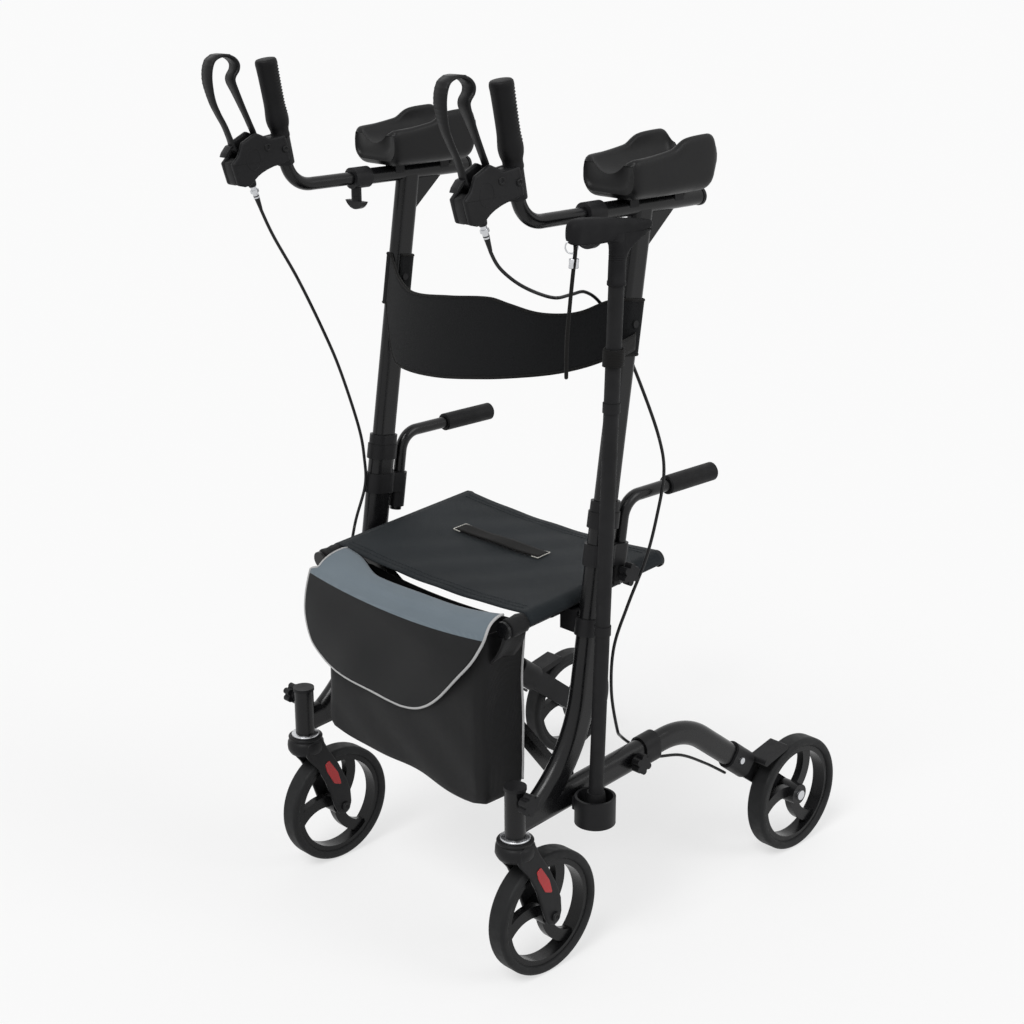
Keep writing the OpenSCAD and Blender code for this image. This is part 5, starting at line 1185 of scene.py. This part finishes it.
planLength = lineLength([(x, y, 0) for x, y in plan[cut:]])
cuffLength = lineLength([(x, y, 0) for x, y in plan[:cut + 1]])
for piece in (strapSheet, *bindings):
    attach(piece, "left_arm")
    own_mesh(piece)
for piece in (strapCuff, *cuffBindings):
    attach(piece, "right_arm")
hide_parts("back_strap")
print("back strap made", round(planLength, 3), "m and cuff", round(cuffLength, 3), "m")

# cane handle, sleeve and webbing loop
caneValues = {
    "foot": (0.297, -0.228, 0.249), "out": 1.4, "back": 0.6, "low": 0.870,
    "top": [(-0.0965, 0.0165), (-0.0955, 0.024), (-0.092, 0.03), (-0.086, 0.0336), (-0.076, 0.035),
            (-0.05, 0.0335), (-0.02, 0.0303), (0.02, 0.0256), (0.045, 0.0224), (0.055, 0.0207),
            (0.0598, 0.0184), (0.0612, 0.0152)],
    "under": [(-0.0965, 0.0155), (-0.0955, 0.008), (-0.092, 0.0035), (-0.086, 0.0004), (-0.076, -0.0008),
              (-0.04, -0.0026), (0, -0.0012), (0.02, 0.0008), (0.04, 0.0052), (0.053, 0.0095),
              (0.0595, 0.0118), (0.0612, 0.0142)],
    "width": 0.0125, "nose": -0.0965, "heel": 0.0612, "around": 32,
    "noseRun": 0.016, "heelRun": 0.012, "straight": (-0.074, 0.044, 24), "noseRound": (-0.084, 0.0127),
    "heelRound": (0.05, 0.0114),
    "sleeve": [(0.0112, -0.064), (0.0128, -0.0636), (0.0132, -0.062), (0.0131, -0.058), (0.0122, -0.057),
               (0.0122, -0.03)],
    "sleeveRadius": 0.0122, "grooveDepth": 0.0007, "groovePitch": 0.003, "sleeveEnd": (0.006, 0.0095),
    "flareBehind": 0.047, "flareAhead": 0.012, "flareHalf": 0.0126,
    "behind": [(-0.03, 0), (-0.022, 0.06), (-0.013, 0.18), (-0.005, 0.4), (0.002, 0.68), (0.0085, 1)],
    "ahead": [(-0.016, 0), (-0.009, 0.12), (-0.004, 0.4), (0, 1)],
    "bandHeight": 0.955, "bandHalf": 0.012, "bandRadius": 0.0142, "bandThick": 0.002,
    "armFoot": (-0.099, 1.143),
}
caneOut, caneBack = math.radians(caneValues["out"]), math.radians(caneValues["back"])
turn = Matrix.Rotation(caneOut, 4, "Y") @ Matrix.Rotation(-caneBack, 4, "X")
caneFrame = Matrix.Translation(caneValues["foot"]) @ turn


def canePoint(x, y, z):
    return tuple(caneFrame @ Vector((x, y, z)))


v = caneValues
nose = v["nose"] + v["noseRun"] * np.linspace(0, 1, 12) ** 1.6
heel = v["heel"] - v["heelRun"] * np.linspace(1, 0, 10) ** 1.6
rows = []
for y in np.concatenate([nose, np.linspace(*v["straight"]), heel]):
    top, under = eased(v["top"], y), eased(v["under"], y)
    mid, half = (top + under) / 2, max((top - under) / 2, 0.0006)
    past = max(0, (v["noseRound"][0] - y) / v["noseRound"][1], (y - v["heelRound"][0]) / v["heelRound"][1])
    ends = min(1.0, math.sqrt(max(0.05, 1 - past ** 2)))
    row = []
    for k in range(v["around"]):
        a = 2 * math.pi * k / v["around"]
        c, q = math.cos(a), math.sin(a)
        x = math.copysign(abs(c) ** 0.66, c) * v["width"] * ends
        z = mid + math.copysign(abs(q) ** 0.7, q) * half
        row.append(canePoint(x, y, v["low"] + z))
    rows.append(row)
caneHandle = addGrid("caneHandle", rows, softTouch, caps=True, closeCols=True)
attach(caneHandle, "cane")
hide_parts("cane_handle")


def groove(h):  # fine grooves round the lower part of the neck
    return v["grooveDepth"] * max(0, math.sin(2 * math.pi * (h + 0.029) / v["groovePitch"])) * (h < -0.02)


def neckFlare(a, h):  # the neck widens into the handle, further behind than ahead
    v = caneValues
    behind = max(0, math.cos(a)) ** 1.6 * v["flareBehind"] * spread(v["behind"], h)
    ahead = max(0, -math.cos(a)) ** 2 * v["flareAhead"] * spread(v["ahead"], h)
    room = v["flareHalf"] / max(abs(math.sin(a)), 0.05) - v["sleeveRadius"]  # no wider than the handle
    return max(0, min(behind + ahead, room)) if h < 0.009 else 0


sleeveProfile = v["sleeve"] + [(v["sleeveRadius"] - groove(h), h) for h in np.linspace(-0.029, 0.0085, 76)]
sleeveProfile += [v["sleeveEnd"]]
caneSleeve = latheMesh("caneSleeve", sleeveProfile, canePoint(0, 0, caneValues["low"]),
                       Vector(canePoint(0, 0, 1)) - Vector(canePoint(0, 0, 0)), softTouch, 64, neckFlare)
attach(caneSleeve, "cane")
height = v["bandHeight"]
up = height - v["foot"][2]
caneX, caneY = v["foot"][0] + up * math.tan(caneOut), v["foot"][1] + up * math.tan(caneBack)
postY = v["armFoot"][0] + (height - v["armFoot"][1]) * math.tan(lean)
loopStart = [(0.2525, postY - 0.0285), (0.262, postY - 0.033), (0.276, postY - 0.048)]
loopLine = [(caneX + v["bandRadius"] * math.cos(a), caneY + v["bandRadius"] * math.sin(a))
            for a in np.linspace(-2.35, 1.35, 30)]
loopEnd = [(0.294, -0.188), (0.272, postY - 0.004), (0.2642, postY + 0.006)]
rows = [[(x, y + h * math.tan(lean) * 0.3, height + h) for h in np.linspace(-v["bandHalf"], v["bandHalf"], 5)]
        for x, y in resampled(loopStart + loopLine + loopEnd, 70)]
caneBand = addGrid("caneBand", rows, webbingUp)
settled(caneBand, ("SOLIDIFY", {"thickness": v["bandThick"], "offset": 0}))
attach(caneBand, "left_arm")
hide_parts("cane_loop")
print("cane made")

# floor, light and background
studioValues = {
    "floor": 0.9, "floorHalf": 80, "floorDrop": 0.0004, "fill": 0.5, "white": 0.62,
    "key": (1.5, (-0.25, 0.75, -1.0), 24), "side": (0.7, (-0.9, -0.35, -0.6), 30),
}


def seenDirectly(tree):  # 1 for rays from the camera, a reflection or through glass
    rays = tree.nodes.new("ShaderNodeLightPath")
    seen = rays.outputs["Is Camera Ray"]
    for kind in ("Is Glossy Ray", "Is Transmission Ray"):
        larger = tree.nodes.new("ShaderNodeMath")
        larger.operation = "MAXIMUM"
        tree.links.new(seen, larger.inputs[0])
        tree.links.new(rays.outputs[kind], larger.inputs[1])
        seen = larger.outputs[0]
    return seen


def studioShader(tree, kind, level, strength=None):
    node = tree.nodes.new(kind)
    node.inputs["Color"].default_value = (level, level, level, 1)
    if strength is not None:
        node.inputs["Strength"].default_value = strength
    return node.outputs[0]


def mixShaders(tree, outputKind, share, lighting, seen):
    mixer = tree.nodes.new("ShaderNodeMixShader")
    output = tree.nodes.new(outputKind)
    for socket, link in zip(mixer.inputs, (share, lighting, seen)):
        tree.links.new(link, socket)
    tree.links.new(mixer.outputs[0], output.inputs["Surface"])


half, drop = studioValues["floorHalf"], studioValues["floorDrop"]
floorCorners = [(-half, -half, -drop), (half, -half, -drop), (half, half, -drop), (-half, half, -drop)]
floorMaterial = bpy.data.materials.new("studioFloor")
floorMaterial.use_nodes = True
tree = floorMaterial.node_tree
tree.nodes.clear()
share = tree.nodes.new("ShaderNodeMath")
share.operation = "MULTIPLY"
share.inputs[1].default_value = studioValues["white"]
tree.links.new(seenDirectly(tree), share.inputs[0])
mixShaders(tree, "ShaderNodeOutputMaterial", share.outputs[0],
           studioShader(tree, "ShaderNodeBsdfDiffuse", studioValues["floor"]),
           studioShader(tree, "ShaderNodeEmission", 1))
addObject("studioFloor", floorCorners, [(0, 1, 2, 3)], floorMaterial, smooth=False)

world = bpy.data.worlds.new("studioWorld")
bpy.context.scene.world = world
world.use_nodes = True
tree = world.node_tree
tree.nodes.clear()
mixShaders(tree, "ShaderNodeOutputWorld", seenDirectly(tree),
           studioShader(tree, "ShaderNodeBackground", 1, studioValues["fill"]),
           studioShader(tree, "ShaderNodeBackground", 1, 1))


def addSun(name, strength, toward, angle):
    data = bpy.data.lights.new(name, "SUN")
    data.energy = strength
    data.angle = math.radians(angle)
    lamp = bpy.data.objects.new(name, data)
    lamp.rotation_mode = "QUATERNION"
    lamp.rotation_quaternion = Vector(toward).to_track_quat("-Z", "Y")
    bpy.context.scene.collection.objects.link(lamp)


addSun("keyLight", *studioValues["key"])
addSun("sideLight", *studioValues["side"])
bpy.context.scene.view_settings.view_transform = "Standard"
print("studio lit")
